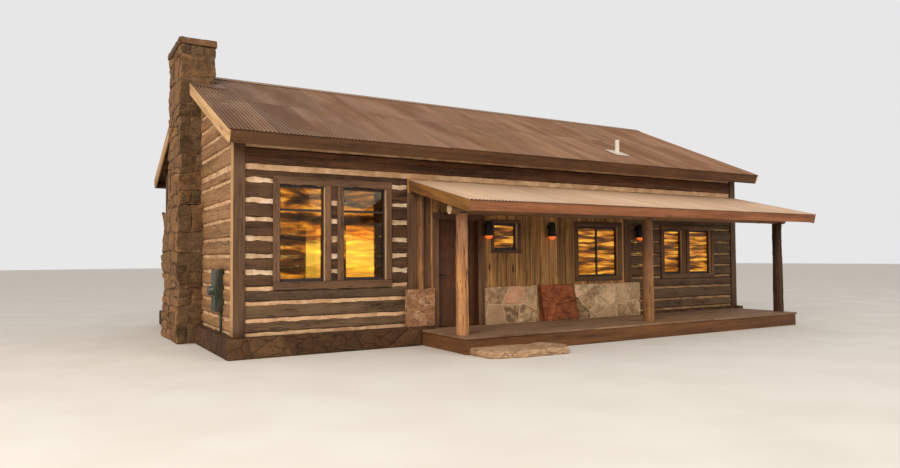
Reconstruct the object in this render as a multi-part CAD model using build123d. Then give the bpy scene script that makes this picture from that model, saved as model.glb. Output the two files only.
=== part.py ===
# Log cabin with a stone chimney, a board-clad entry wall and a covered porch.
# Units are millimetres. X runs along the front, +Y runs into the house, +Z is up.
# The origin is on the ground, under the middle of the front log wall. Until a
# sub-part is saved, its y is measured from the corner posts' outer face.

import os
from math import atan2, cos, degrees, sin

from build123d import *

# Cabin body
cabin_length = 12800
cabin_depth = 7180
log_setback = 20
log_thickness = 150
log_bevel = 28
plate_lap = 40
ridge_beam_width = 60
ridge_beam_height = 220
corner_post_size = 200
wall_base = 355
chink_height = 55
long_strip_height = 100
course_heights = (230, 285, 250, 270, 275, 295, 320, 320, 345, 225, 360)
gable_course_height = 290
gable_course_count = 6

# Stone footing and floor
footing_width = 300
footing_overhang = 100
floor_top = 300
floor_thickness = 50
floor_bearing = 60
sleeper_width = 120
sleeper_count = 7

# Main roof
eave_overhang = 575
gable_overhang = 205
eave_height = 3700
ridge_height = 5540
sheet_thickness = 24
deck_board_thickness = 40
rafter_width = 90
rafter_depth = 140
rafter_count = 13
fascia_height = 215
fascia_thickness = 35
drip = 18
ridge_cap_width = 190
ridge_cap_thickness = 6
barge_height = 215
barge_thickness = 38
barge_joint = 0.5

# Chimney, centred on the ridge
chimney_base_width = 1950
chimney_base_face = 480
shoulder_height = 2690
chimney_stack_width = 1550
chimney_stack_face = 405
chimney_inner_face = 350
chimney_rise = 560
cap_height = 150
cap_overhang = 15
flue_length = 700
flue_width = 330
flue_depth = 900

# Openings of the front wall, from the left gable face
entry_wall_start = 3220
entry_wall_end = 9030
door_start = 3860
door_width = 980
door_head = 2420
left_windows = ((760, 1600), (1920, 2790))
left_window_sill = 1250
left_window_head = 2925
transom_height = 2490
small_window = (5190, 5790)
small_window_sill = 1800
small_window_head = 2345
double_window = (7430, 8640)
double_window_sill = 1205
double_window_head = 2320
right_windows = ((10130, 10780), (11020, 11830))
right_window_sill = 1215
right_window_head = 2290

# Openings of the back wall and of the right gable
back_windows = ((3600, 4600), (4800, 5800), (8300, 9500))
back_window_sill = 1050
back_window_head = 2640
gable_window = (2990, 4190)
gable_window_sill = 1250
gable_window_head = 2640

# Window frames, glass and casings
frame_face = 48
frame_depth = 70
frame_setback = 55
glass_thickness = 8
casing_width = 100
small_casing_width = 70
left_casing_height = 130
casing_thickness = 30
bar_width = 40

# Door
jamb_thickness = 40
door_gap = 7
leaf_thickness = 45
leaf_clearance = 8
stop_width = 14
stop_thickness = 14
handle_height = 1010
handle_inset = 70
hinge_radius = 8
hinge_pin_radius = 4
hinge_clearance = 0.4
hinge_standoff = 1
hinge_length = 100
hinge_leaf_thickness = 3
hinge_leaf_width = 34
hinge_heights = (250, 1050, 1850)
panel_recess = 8
panel_border = 125
lock_rail_height = 820
rose_radius = 27
rose_thickness = 9
neck_radius = 10
lever_reach = 60
lever_length = 120
casing_lap = 30
door_casing_width = 130

# Porch
porch_start = 3450
porch_end = 12720
porch_depth = 1690
porch_board_thickness = 38
board_nosing = 25
rim_thickness = 45
joist_width = 60
joist_count = 9
joist_inset = 480
porch_roof_start = 3250
porch_roof_end = 12850
porch_roof_reach = 2150
porch_roof_over_door = 710
porch_roof_fall = 530
porch_sheet_thickness = 20
porch_board_depth = 30
porch_rafter_width = 80
porch_rafter_depth = 185
porch_rafter_count = 9
porch_fascia_height = 175
rake_height = 190
ledger_thickness = 45
ledger_height = 195
post_offsets = (3610, 8180, 12590)
post_line = 1300
post_foot_radius = 122
post_head_radius = 110
post_sides = 24
beam_radius = 90
beam_flat = 12
post_seat = 22
seat_clearance = 2
beam_start = 3360
beam_end = 12840

# Stonework and trim of the entry wall
wainscot_thickness = 110
wainscot_height = 1050
wainscot_left_end = 6225
red_panel_gap = 85
red_panel_width = 880
red_panel_lean = (100, 170)
wainscot_right_end = 9225
stone_joint = 3
board_joint = 1
pier_start = 3160
pier_end = 3755
pier_height = 1060
entry_pole_place = 3490
entry_pole_radius = 58
step_thickness = 115
step_start = 3500
step_outline = ((0, 0), (1650, 0), (1790, 430), (1500, 800), (640, 760), (60, 600))
trim_board_thickness = 26
pier_board = (3220, 3415)
pole_board = (3555, 3710)
corner_board = (8830, 9030)

# Fittings
lamp_places = (4990, 6610, 9215)
lamp_height = 2390
lamp_radius = 95
lamp_arm_width = 60
lamp_drop = 310
lamp_reach = 125
globe_radius = 80
globe_foot_radius = 48
globe_height = 70
vent_place = 8950
vent_line = 320
vent_radius = 50
vent_height = 300
vent_plate_size = 420
vent_plate_thickness = 6
box_place = 950
box_width = 320
box_depth = 135
box_bottom = 735
box_height = 725
meter_radius = 85
meter_depth = 90
conduit_radius = 22

# Derived places
half_length = cabin_length / 2
beyond = 1000
porch_boards_low = floor_top - porch_board_thickness
rim_line = board_nosing - porch_depth
ridge_line = cabin_depth / 2
front_eave = -eave_overhang
back_eave = cabin_depth + eave_overhang
slope = (ridge_height - eave_height) / (ridge_line + eave_overhang)
pitch = atan2(ridge_height - eave_height, ridge_line + eave_overhang)
sheet_rise = sheet_thickness / cos(pitch)
boards_drop = sheet_rise + deck_board_thickness / cos(pitch)
rafter_drop = boards_drop + rafter_depth / cos(pitch)
fascia_drop = sheet_rise + fascia_height / cos(pitch)
barge_drop = sheet_rise + barge_height / cos(pitch)
fascia_back = drip + fascia_thickness * cos(pitch)
porch_roof_wall_height = door_head + porch_roof_over_door
porch_slope = porch_roof_fall / porch_roof_reach
chimney_top = ridge_height + chimney_rise
porch_pitch = atan2(porch_roof_fall, porch_roof_reach)
porch_sheet_drop = porch_sheet_thickness / cos(porch_pitch)
porch_boards_drop = porch_sheet_drop + porch_board_depth / cos(porch_pitch)
porch_rafter_drop = porch_boards_drop + porch_rafter_depth / cos(porch_pitch)
porch_fascia_drop = porch_sheet_drop + porch_fascia_height / cos(porch_pitch)
porch_front = drip - porch_roof_reach
porch_fascia_back = porch_front + fascia_thickness * cos(porch_pitch)
wall_inner = log_setback + log_thickness
origin_line = log_setback + log_thickness / 2
wainscot_left_start = door_start + door_width - casing_lap + door_casing_width + stone_joint
stack_front = ridge_line - chimney_stack_width / 2
stack_back = ridge_line + chimney_stack_width / 2
base_front = ridge_line - chimney_base_width / 2
base_back = ridge_line + chimney_base_width / 2


def along(offset):
    """X of a place measured along the front from the left gable face."""
    return offset - half_length


def block(x0, x1, y0, y1, z0, z1):
    """Rectangular solid between two corners."""
    return Pos((x0 + x1) / 2, (y0 + y1) / 2, (z0 + z1) / 2) * Box(x1 - x0, y1 - y0, z1 - z0)


def prism_x(points, x0, x1):
    """Solid with an outline of (y, z) points, from x0 to x1."""
    outline = make_face(Polyline([(x0, y, z) for y, z in points], close=True))
    return extrude(outline, x1 - x0, dir=(1, 0, 0))


def prism_y(points, y0, y1):
    """Solid with an outline of (x, z) points, from y0 to y1."""
    outline = make_face(Polyline([(x, y0, z) for x, z in points], close=True))
    return extrude(outline, y1 - y0, dir=(0, 1, 0))


def prism_z(points, z0, z1):
    """Solid with an outline of (x, y) points, from z0 to z1."""
    outline = make_face(Polyline([(x, y, z0) for x, y in points], close=True))
    return extrude(outline, z1 - z0, dir=(0, 0, 1))


def upright(radius, x, y, z0, z1):
    """Round bar along Z."""
    return Pos(x, y, (z0 + z1) / 2) * Cylinder(radius, z1 - z0)


def peeled_post(foot, head, x, y, z0, z1):
    """Post along Z with a wider foot, hewn round in narrow flats."""
    height = z1 - z0
    outline = Pos(x, y, z0) * RegularPolygon(foot, post_sides)
    return extrude(outline, height, dir=(0, 0, 1), taper=degrees(atan2(foot - head, height)))


def bar_along_x(radius, y, z, x0, x1):
    """Round bar along X."""
    return Pos((x0 + x1) / 2, y, z) * Rot(0, 90, 0) * Cylinder(radius, x1 - x0)


def bar_along_y(radius, x, z, y0, y1):
    """Round bar along Y."""
    return Pos(x, (y0 + y1) / 2, z) * Rot(90, 0, 0) * Cylinder(radius, y1 - y0)


def save(name, *solids):
    """Writes one sub-part, which is one solid or several like ones."""
    placed = [Pos(0, -origin_line, 0) * solid for solid in solids]
    shape = placed[0] if len(placed) == 1 else Compound(children=placed)
    export_step(shape, f"parts/{name}.step")


def spaced(first, last, count):
    """Evenly spaced places from first to last."""
    return [first + (last - first) * i / (count - 1) for i in range(count)]


# Heights of the main roof and the porch roof

def roof_under(y, drop=0):
    """Height of the main roof's top at y, less a vertical drop."""
    return ridge_height - abs(y - ridge_line) * slope - drop


def porch_under(y, drop=0):
    """Height of the porch roof's top at y, less a vertical drop."""
    return porch_roof_wall_height + y * porch_slope - drop


def roof_cut(eave, drop):
    """Y of the main roof's eave cut, made square to the slope, at a vertical drop."""
    inwards = 1 if eave < ridge_line else -1
    return eave + inwards * drop * cos(pitch) * sin(pitch)


def porch_cut(eave, drop):
    """Y of the porch roof's eave cut, made square to the slope, at a vertical drop."""
    return eave + drop * cos(porch_pitch) * sin(porch_pitch)


def under_roof(height_under, points, x0, x1):
    """Solid from x0 to x1 with an outline of (y, drop) points under one roof's top."""
    return prism_x([(y, height_under(y, drop)) for y, drop in points], x0, x1)


def roof_layer(y0, y1, drop0, drop1, x0, x1):
    """Slab in one slope of the main roof, with plumb ends."""
    points = [(y0, drop0), (y1, drop0), (y1, drop1), (y0, drop1)]
    return under_roof(roof_under, points, x0, x1)


def porch_layer(y0, y1, drop0, drop1, x0, x1):
    """Slab in the slope of the porch roof, with plumb ends."""
    points = [(y0, drop0), (y1, drop0), (y1, drop1), (y0, drop1)]
    return under_roof(porch_under, points, x0, x1)


def eave_layer(eave, top, drop0, drop1, x0, x1):
    """Slab in one slope of the main roof, with a square cut at the eave and a plumb top."""
    points = [(roof_cut(eave, drop0), drop0), (top, drop0), (top, drop1), (roof_cut(eave, drop1), drop1)]
    return under_roof(roof_under, points, x0, x1)


def porch_eave_layer(eave, top, drop0, drop1, x0, x1):
    """Slab in the slope of the porch roof, with a square cut at the eave and a plumb top."""
    points = [(porch_cut(eave, drop0), drop0), (top, drop0), (top, drop1), (porch_cut(eave, drop1), drop1)]
    return under_roof(porch_under, points, x0, x1)


# Log courses

def hewn(depth0, depth1, z0, z1):
    """Outline of a hewn log, as (depth, z) points with bevelled arrises."""
    b = log_bevel
    return [
        (depth0 + b, z0),
        (depth1 - b, z0),
        (depth1, z0 + b),
        (depth1, z1 - b),
        (depth1 - b, z1),
        (depth0 + b, z1),
        (depth0, z1 - b),
        (depth0, z0 + b),
    ]


def course_lines():
    """Middle heights of the chinked joints, and the height of each joint."""
    line = wall_base + chink_height / 2
    lines = [(line, chink_height)]
    for height in course_heights:
        line += height
        lines.append((line, chink_height))
    strip = len(course_heights) - 1
    lines[strip] = (lines[strip][0], long_strip_height)
    for _ in range(gable_course_count):
        line += gable_course_height
        lines.append((line, chink_height))
    return lines


joints = course_lines()
eave_joint = len(course_heights)
strip_joint = eave_joint - 1
entry_wall_top = joints[strip_joint][0] - long_strip_height / 2
plate_top = roof_under(log_setback, rafter_drop) + plate_lap


def log_wall(start, end, first, last, cutters, place_log, place_strip):
    """Logs and chinking of a wall, from joint number first to joint number last."""
    logs = []
    strips = []
    for number in range(first, last):
        middle, height = joints[number]
        above, above_height = joints[number + 1]
        z0, z1 = middle - height / 2, middle + height / 2
        strips += cut_away(place_strip(start, end, z0, z1), cutters)
        logs += cut_away(place_log(start, end, z1, above - above_height / 2), cutters)
    return logs, strips


def cut_away(solid, cutters):
    """What is left of a solid after each cutter that reaches it."""
    box = solid.bounding_box()
    for cutter in cutters:
        reach = cutter.bounding_box()
        if reach.min.Z < box.max.Z and reach.max.Z > box.min.Z:
            solid -= cutter
    return list(solid.solids()) if solid else []


def front_log(s0, s1, z0, z1):
    """Log of the front wall."""
    return prism_x(hewn(log_setback, wall_inner, z0, z1), along(s0), along(s1))


def front_strip(s0, s1, z0, z1):
    """Chinking of the front wall, between the flats of two logs."""
    return block(along(s0), along(s1), log_setback + log_bevel, wall_inner - log_bevel, z0, z1)


def back_log(s0, s1, z0, z1):
    """Log of the back wall."""
    outline = hewn(cabin_depth - wall_inner, cabin_depth - log_setback, z0, z1)
    return prism_x(outline, along(s0), along(s1))


def back_strip(s0, s1, z0, z1):
    """Chinking of the back wall."""
    y0 = cabin_depth - wall_inner + log_bevel
    return block(along(s0), along(s1), y0, cabin_depth - log_setback - log_bevel, z0, z1)


def gable_log(side):
    """Maker of logs for the gable on one side, -1 left and 1 right."""
    inner, outer = side * (half_length - wall_inner), side * (half_length - log_setback)

    def place(s0, s1, z0, z1):
        return prism_y(hewn(min(inner, outer), max(inner, outer), z0, z1), s0, s1)

    return place


def gable_strip(side):
    """Maker of chinking for the gable on one side."""
    inner = side * (half_length - wall_inner + log_bevel)
    outer = side * (half_length - log_setback - log_bevel)

    def place(s0, s1, z0, z1):
        return block(min(inner, outer), max(inner, outer), s0, s1, z0, z1)

    return place


def through_front(spans, sill, head):
    """Holes through the front wall, one for each (start, end)."""
    return [block(along(s0), along(s1), -beyond, wall_inner + beyond, sill, head) for s0, s1 in spans]


def through_back(spans, sill, head):
    """Holes through the back wall."""
    y0 = cabin_depth - wall_inner - beyond
    return [block(along(s0), along(s1), y0, cabin_depth + beyond, sill, head) for s0, s1 in spans]


# Windows

def window_lights(x0, x1, z0, z1, uprights=(), rails=()):
    """Openings of the lights between the frame and its bars."""
    half = bar_width / 2
    edges_x = [x0 + frame_face]
    for place in uprights:
        edges_x += [place - half, place + half]
    edges_x.append(x1 - frame_face)
    edges_z = [z0 + frame_face]
    for place in rails:
        edges_z += [place - half, place + half]
    edges_z.append(z1 - frame_face)
    return [
        (left, right, low, high)
        for left, right in zip(edges_x[::2], edges_x[1::2])
        for low, high in zip(edges_z[::2], edges_z[1::2])
    ]


def window(x0, x1, y0, z0, z1, uprights=(), rails=()):
    """Frame of a window in a wall along X, and its panes; y0 is the frame's lower y."""
    y1 = y0 + frame_depth
    pane_y = (y0 + y1 - glass_thickness) / 2
    frame = block(x0, x1, y0, y1, z0, z1)
    panes = []
    for left, right, low, high in window_lights(x0, x1, z0, z1, uprights, rails):
        frame -= block(left, right, y0, y1, low, high)
        panes.append(block(left, right, pane_y, pane_y + glass_thickness, low, high))
    return frame, panes


def casing(holes, side_width, end_width, y0, placed=Pos(0, 0, 0)):
    """Boards round a row of windows in a wall along X: head, sill and uprights."""
    y = (y0, y0 + casing_thickness)
    _, _, sill, head = holes[0]
    x0, x1 = holes[0][0] - side_width, holes[-1][1] + side_width
    low, high = sill - end_width, head + end_width
    boards = [block(x0, x1, *y, low, sill), block(x0, x1, *y, head, high)]
    upright_z = (sill + board_joint, head - board_joint)
    edges = [x0]
    for h0, h1, _, _ in holes:
        edges += [h0, h1]
    edges.append(x1)
    for left, right in zip(edges[::2], edges[1::2]):
        if right - left > 2 * side_width:
            boards.append(block(left, left + side_width, *y, *upright_z))
            left = right - side_width
        boards.append(block(left, right, *y, *upright_z))
    return [placed * board for board in boards]


# Sub-parts

def make_footings():
    """Stone footing under each wall, with a rebate inside that carries the floor."""
    outer, inner = footing_overhang, footing_width - footing_overhang
    ledge = floor_top - floor_thickness
    rebate = inner - floor_bearing
    left, right = -half_length - outer, half_length + outer

    def strip(sign, line):
        points = [
            (-outer, 0), (inner, 0), (inner, ledge), (rebate, ledge), (rebate, wall_base), (-outer, wall_base)
        ]
        return [(line + sign * depth, z) for depth, z in points]

    front = prism_x(strip(1, 0), left, right)
    doorway_x = (along(door_start), along(door_start + door_width))
    front -= block(*doorway_x, log_setback, rebate, ledge, wall_base)
    front -= block(along(pier_end), along(porch_end), -outer, log_setback, porch_boards_low, wall_base)
    gable_left = prism_y(strip(1, -half_length), inner, cabin_depth - inner)
    gable_left -= block(left, -half_length + inner, base_front, base_back, 0, wall_base)
    save("long_footings", front, prism_x(strip(-1, cabin_depth), left, right))
    gable_right = prism_y(strip(-1, half_length), inner, cabin_depth - inner)
    save("gable_footings", *gable_left.solids(), gable_right)


def make_floor():
    """Floor of boards on sleepers, carried by the footing's rebate."""
    inner = footing_width - footing_overhang
    edge = inner - floor_bearing
    ledge = floor_top - floor_thickness
    x0, x1 = -half_length + edge, half_length - edge
    floor = block(x0, x1, edge, cabin_depth - edge, ledge, floor_top)
    floor -= block(x0, -half_length + chimney_inner_face, base_front, base_back, ledge, floor_top)
    save("floor", floor)
    first = -half_length + chimney_inner_face + sleeper_width
    sleepers = [
        block(first, half_length - inner, y - sleeper_width / 2, y + sleeper_width / 2, 0, ledge)
        for y in spaced(inner * 3, cabin_depth - inner * 3, sleeper_count)
    ]
    save("floor_sleepers", *sleepers)


def make_corner_posts():
    """Square posts that the logs butt against at the four corners."""
    size = corner_post_size
    top = roof_under(0, boards_drop)
    posts = [
        block(x0, x0 + size, y0, y0 + size, wall_base, top)
        for x0 in (-half_length, half_length - size)
        for y0 in (0, cabin_depth - size)
    ]
    save("corner_posts", *posts)


def make_front_logs():
    """Log pens left and right of the entry wall, and the long logs over everything."""
    left_holes = through_front(left_windows, left_window_sill, left_window_head)
    right_holes = through_front(right_windows, right_window_sill, right_window_head)
    start, end = corner_post_size, cabin_length - corner_post_size
    left = log_wall(start, entry_wall_start, 0, strip_joint, left_holes, front_log, front_strip)
    right = log_wall(entry_wall_end, end, 0, strip_joint, right_holes, front_log, front_strip)
    logs, strips = log_wall(start, end, strip_joint, eave_joint, [], front_log, front_strip)
    middle, height = joints[eave_joint]
    strips.append(front_strip(start, end, middle - height / 2, middle + height / 2))
    logs.append(front_log(start, end, middle + height / 2, plate_top))
    save("front_logs", *left[0], *right[0], *logs)
    return left[1] + right[1] + strips


def make_back_logs():
    """Back wall, log courses from the footing to the eave."""
    holes = through_back(back_windows, back_window_sill, back_window_head)
    start, end = corner_post_size, cabin_length - corner_post_size
    logs, strips = log_wall(start, end, 0, eave_joint, holes, back_log, back_strip)
    middle, height = joints[eave_joint]
    strips.append(back_strip(start, end, middle - height / 2, middle + height / 2))
    logs.append(back_log(start, end, middle + height / 2, plate_top))
    save("back_logs", *logs)
    return strips


def sky():
    """All that lies over the underside of the main roof's boards."""
    y0, y1 = -beyond, cabin_depth + beyond
    outline = [
        (y0, roof_under(y0, boards_drop)),
        (ridge_line, roof_under(ridge_line, boards_drop)),
        (y1, roof_under(y1, boards_drop)),
        (y1, ridge_height + beyond),
        (y0, ridge_height + beyond),
    ]
    return prism_x(outline, -half_length - beyond, half_length + beyond)


def make_gables():
    """Gable walls, whose top logs follow the roof; the chimney splits the left one."""
    start, end = corner_post_size, cabin_depth - corner_post_size
    count = eave_joint + gable_course_count
    x1 = half_length + beyond
    y0, y1 = gable_window
    lit = block(half_length - wall_inner - beyond, x1, y0, y1, gable_window_sill, gable_window_head)
    all_strips = []
    for name, side, hole in (("left_gable", -1, chimney_form()), ("right_gable", 1, lit)):
        cutters = [hole, sky()]
        logs, strips = log_wall(start, end, 0, count, cutters, gable_log(side), gable_strip(side))
        save(f"{name}_logs", *logs)
        all_strips += strips
    return all_strips


def make_log_walls():
    """Every log wall, and the chinking between all their logs."""
    save("chinking", *make_front_logs(), *make_back_logs(), *make_gables())


def chimney_form():
    """Outer form of the chimney's masonry, wider up to the shoulders."""
    gable = -half_length
    inner = gable + chimney_inner_face
    base = block(gable - chimney_base_face, inner, base_front, base_back, 0, shoulder_height)
    stack_top = chimney_top - cap_height
    stack = block(gable - chimney_stack_face, inner, stack_front, stack_back, shoulder_height, stack_top)
    return base + stack


def make_chimney():
    """Chimney masonry with its flue, and the cap course round the flue's mouth."""
    gable = -half_length
    flue_x = gable + (chimney_inner_face - chimney_stack_face) / 2
    flue = block(
        flue_x - flue_width / 2, flue_x + flue_width / 2,
        ridge_line - flue_depth / 2, ridge_line + flue_depth / 2,
        chimney_top - flue_length, chimney_top,
    )
    cap = block(
        gable - chimney_stack_face - cap_overhang, gable + chimney_inner_face + cap_overhang,
        stack_front - cap_overhang, stack_back + cap_overhang,
        chimney_top - cap_height, chimney_top,
    )
    save("chimney", chimney_form() - flue)
    save("chimney_cap", cap - flue)


def stack_hole():
    """Hole in the roof for the chimney stack."""
    gable = -half_length
    top = ridge_height + beyond
    return block(gable - beyond, gable + chimney_inner_face, stack_front, stack_back, 0, top)


def make_roof():
    """Roof boards, metal sheets, ridge cap, fascias and barge boards."""
    x0, x1 = -half_length - gable_overhang, half_length + gable_overhang
    inner_x0, inner_x1 = x0 + barge_thickness, x1 - barge_thickness
    hole = stack_hole()
    fascias = []
    for name, eave, sign in (("front", front_eave, 1), ("back", back_eave, -1)):
        outer, inner = eave + sign * drip, eave + sign * fascia_back
        boards = eave_layer(inner, ridge_line, sheet_rise, boards_drop, inner_x0, inner_x1)
        save(f"roof_boards_{name}", boards - hole)
        save(f"roof_sheet_{name}", eave_layer(eave, ridge_line, 0, sheet_rise, x0, x1) - hole)
        outline = [
            (roof_cut(outer, fascia_drop), fascia_drop),
            (roof_cut(inner, fascia_drop), fascia_drop),
            (roof_cut(inner, sheet_rise), sheet_rise),
            (roof_cut(outer, sheet_rise), sheet_rise),
        ]
        fascias.append(under_roof(roof_under, outline, inner_x0, inner_x1))
    save("eave_fascias", *fascias)
    reach = ridge_cap_width * cos(pitch)
    lift = ridge_cap_thickness / cos(pitch)
    front, back = ridge_line - reach, ridge_line + reach
    cap_outline = [
        (front, roof_under(front)),
        (ridge_line, roof_under(ridge_line)),
        (back, roof_under(back)),
        (back, roof_under(back, -lift)),
        (ridge_line, roof_under(ridge_line, -lift)),
        (front, roof_under(front, -lift)),
    ]
    save("ridge_cap", prism_x(cap_outline, -half_length + chimney_inner_face, x1))
    barge_boards = []
    for edge, sign in ((x0, 1), (x1, -1)):
        b0, b1 = sorted((edge, edge + sign * barge_thickness))
        front = eave_layer(front_eave + drip, ridge_line - barge_joint, sheet_rise, barge_drop, b0, b1)
        back = eave_layer(back_eave - drip, ridge_line + barge_joint, sheet_rise, barge_drop, b0, b1)
        barge_boards += [front - hole, back - hole] if sign > 0 else [front, back]
    save("barge_boards", *barge_boards)


def make_rafters():
    """Ridge beam, and rafters that notch over the wall plates and butt against it."""
    ridge_half = ridge_beam_width / 2
    start, end = -half_length + chimney_inner_face, half_length - wall_inner
    beam_top = roof_under(ridge_line - ridge_half, boards_drop)
    ridge_y = (ridge_line - ridge_half, ridge_line + ridge_half)
    save("ridge_beam", block(start, end, *ridge_y, beam_top - ridge_beam_height, beam_top))
    back_plate = (cabin_depth - wall_inner, cabin_depth - log_setback)
    ends = (
        (front_eave + fascia_back, ridge_y[0], log_setback, wall_inner),
        (back_eave - fascia_back, ridge_y[1], *back_plate),
    )
    rafters = []
    for place in spaced(start + 2 * rafter_width, end - 2 * rafter_width, rafter_count):
        low, high = place - rafter_width / 2, place + rafter_width / 2
        for eave, top, plate0, plate1 in ends:
            rafter = eave_layer(eave, top, boards_drop, rafter_drop, low, high)
            rafters.append(rafter - block(low, high, plate0, plate1, 0, plate_top))
    save("rafters", *rafters)


def make_porch_floor():
    """Boards on joists, with a rim board set back under their nosing on three sides."""
    x0, x1 = along(porch_start), along(porch_end)
    footing = block(x0, along(pier_end), -footing_overhang, log_setback, 0, floor_top)
    boards = block(x0, x1, -porch_depth, log_setback, porch_boards_low, floor_top)
    save("porch_boards", boards - footing)
    rim_x0, rim_x1 = x0 + board_nosing, x1 - board_nosing
    front, back = rim_line + rim_thickness, -footing_overhang
    side = (front + board_joint, back, 0, porch_boards_low)
    save(
        "porch_rim",
        block(rim_x0, rim_x1, rim_line, front, 0, porch_boards_low),
        block(rim_x0, rim_x0 + rim_thickness, *side),
        block(rim_x1 - rim_thickness, rim_x1, *side),
    )
    joists = [
        block(x - joist_width / 2, x + joist_width / 2, front, back, 0, porch_boards_low)
        for x in spaced(x0 + joist_inset, x1 - joist_inset, joist_count)
    ]
    save("porch_joists", *joists)


def make_porch_frame():
    """Peeled posts, the round beam seated on them by flats, and rafters with tapered tails."""
    seat = porch_under(-post_line, porch_rafter_drop)
    beam_middle = seat - beam_radius + beam_flat
    x0, x1 = along(beam_start), along(beam_end)
    post_top = beam_middle - beam_radius + post_seat
    radii = (post_foot_radius, post_head_radius)
    posts = [peeled_post(*radii, along(offset), -post_line, floor_top, post_top) for offset in post_offsets]
    save("porch_posts", *posts)
    beam = bar_along_x(beam_radius, -post_line, beam_middle, x0, x1)
    beam -= porch_layer(-porch_roof_reach, 0, 0, porch_rafter_drop, x0, x1)
    beam_y = (-post_line - beam_radius, -post_line + beam_radius)
    seat_half = post_head_radius + seat_clearance
    for offset in post_offsets:
        seat_x = (along(offset) - seat_half, along(offset) + seat_half)
        beam -= block(*seat_x, *beam_y, post_top - beam_radius, post_top)
    save("porch_beam", beam)
    inset = barge_thickness + porch_rafter_width
    wall_end = log_setback - ledger_thickness
    outline = [
        (porch_cut(porch_fascia_back, porch_boards_drop), porch_boards_drop),
        (wall_end, porch_boards_drop),
        (wall_end, porch_rafter_drop),
        (-post_line - beam_radius, porch_rafter_drop),
        (porch_cut(porch_fascia_back, porch_fascia_drop), porch_fascia_drop),
    ]
    first, last = along(porch_roof_start) + inset, along(porch_roof_end) - inset
    rafters = []
    for place in spaced(first, last, porch_rafter_count):
        low, high = place - porch_rafter_width / 2, place + porch_rafter_width / 2
        rafters.append(under_roof(porch_under, outline, low, high))
    save("porch_rafters", *rafters)
    ledger_x = (along(porch_roof_start) + barge_thickness, half_length)
    drop = porch_boards_drop + ledger_height
    ledger = porch_layer(wall_end, log_setback, porch_boards_drop, drop, *ledger_x)
    corner = block(half_length - corner_post_size, half_length, 0, log_setback, 0, ridge_height)
    save("porch_ledger", ledger - corner)


def make_porch_roof():
    """Boards, metal sheet, fascia and rake boards of the porch roof."""
    x0, x1 = along(porch_roof_start), along(porch_roof_end)
    inner_x0, inner_x1 = x0 + barge_thickness, x1 - barge_thickness
    boards_place = (porch_sheet_drop, porch_boards_drop, inner_x0, inner_x1)
    save("porch_roof_boards", porch_eave_layer(porch_fascia_back, 0, *boards_place))
    save("porch_roof_sheet", porch_eave_layer(-porch_roof_reach, 0, 0, porch_sheet_drop, x0, x1))
    outline = [
        (porch_cut(porch_front, porch_fascia_drop), porch_fascia_drop),
        (porch_cut(porch_fascia_back, porch_fascia_drop), porch_fascia_drop),
        (porch_cut(porch_fascia_back, porch_sheet_drop), porch_sheet_drop),
        (porch_cut(porch_front, porch_sheet_drop), porch_sheet_drop),
    ]
    save("porch_fascia", under_roof(porch_under, outline, inner_x0, inner_x1))
    rake_drop = porch_sheet_drop + rake_height / cos(porch_pitch)
    rakes = [
        porch_eave_layer(porch_front, 0, porch_sheet_drop, rake_drop, b0, b0 + barge_thickness)
        for b0 in (x0, x1 - barge_thickness)
    ]
    save("porch_rakes", *rakes)


def make_entry_wall():
    """Board-clad wall of the porch, split beside and over the doorway."""
    y0, y1 = log_setback, wall_inner
    door_end = door_start + door_width
    left_x = (along(entry_wall_start), along(door_start))
    save("entry_wall_left", block(*left_x, y0, y1, wall_base, entry_wall_top))
    over = block(along(door_start), along(door_end), y0, y1, door_head, entry_wall_top)
    save("entry_wall_over_door", over)
    right = block(along(door_end), along(entry_wall_end), y0, y1, wall_base, entry_wall_top)
    for hole in through_front([small_window], small_window_sill, small_window_head):
        right -= hole
    for hole in through_front([double_window], double_window_sill, double_window_head):
        right -= hole
    save("entry_wall_right", right)


def make_windows():
    """Frames, glass and casings of every window."""
    front_y = log_setback + frame_setback
    back_y = cabin_depth - log_setback - frame_setback - frame_depth
    rail = (transom_height,)
    double_bar = ((along(double_window[0]) + along(double_window[1])) / 2,)
    rows = (
        (left_windows, front_y, left_window_sill, left_window_head, (), rail),
        ([small_window], front_y, small_window_sill, small_window_head, (), ()),
        ([double_window], front_y, double_window_sill, double_window_head, double_bar, ()),
        (right_windows, front_y, right_window_sill, right_window_head, (), ()),
        (back_windows, back_y, back_window_sill, back_window_head, (), ()),
    )
    frames, panes = [], []
    for spans, y0, sill, head, uprights, rails in rows:
        for s0, s1 in spans:
            frame, glass = window(along(s0), along(s1), y0, sill, head, uprights, rails)
            frames.append(frame)
            panes += glass
    turned = Pos(half_length - log_setback - frame_setback, 0, 0) * Rot(0, 0, 90)
    frame, glass = window(*gable_window, 0, gable_window_sill, gable_window_head)
    save("window_frames", *frames, turned * frame)
    save("window_glass", *panes, *[turned * pane for pane in glass])


def make_casings():
    """Flat boards round the windows."""
    front_y, back_y = log_setback - casing_thickness, cabin_depth - log_setback
    tall = (front_y, casing_width, left_casing_height)
    small = (front_y, small_casing_width, small_casing_width)
    front = (front_y, casing_width, casing_width)
    back = (back_y, casing_width, casing_width)
    rows = (
        (left_windows, left_window_sill, left_window_head, *tall),
        ([small_window], small_window_sill, small_window_head, *small),
        ([double_window], double_window_sill, double_window_head, *front),
        (right_windows, right_window_sill, right_window_head, *front),
        (back_windows[:2], back_window_sill, back_window_head, *back),
        (back_windows[2:], back_window_sill, back_window_head, *back),
    )
    boards = []
    for spans, sill, head, y0, width, height in rows:
        holes = [(along(s0), along(s1), sill, head) for s0, s1 in spans]
        boards += casing(holes, width, height, y0)
    hole = (*gable_window, gable_window_sill, gable_window_head)
    turned = Pos(half_length - log_setback + casing_thickness, 0, 0) * Rot(0, 0, 90)
    boards += casing([hole], casing_width, casing_width, 0, turned)
    save("window_casings", *boards)


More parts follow.
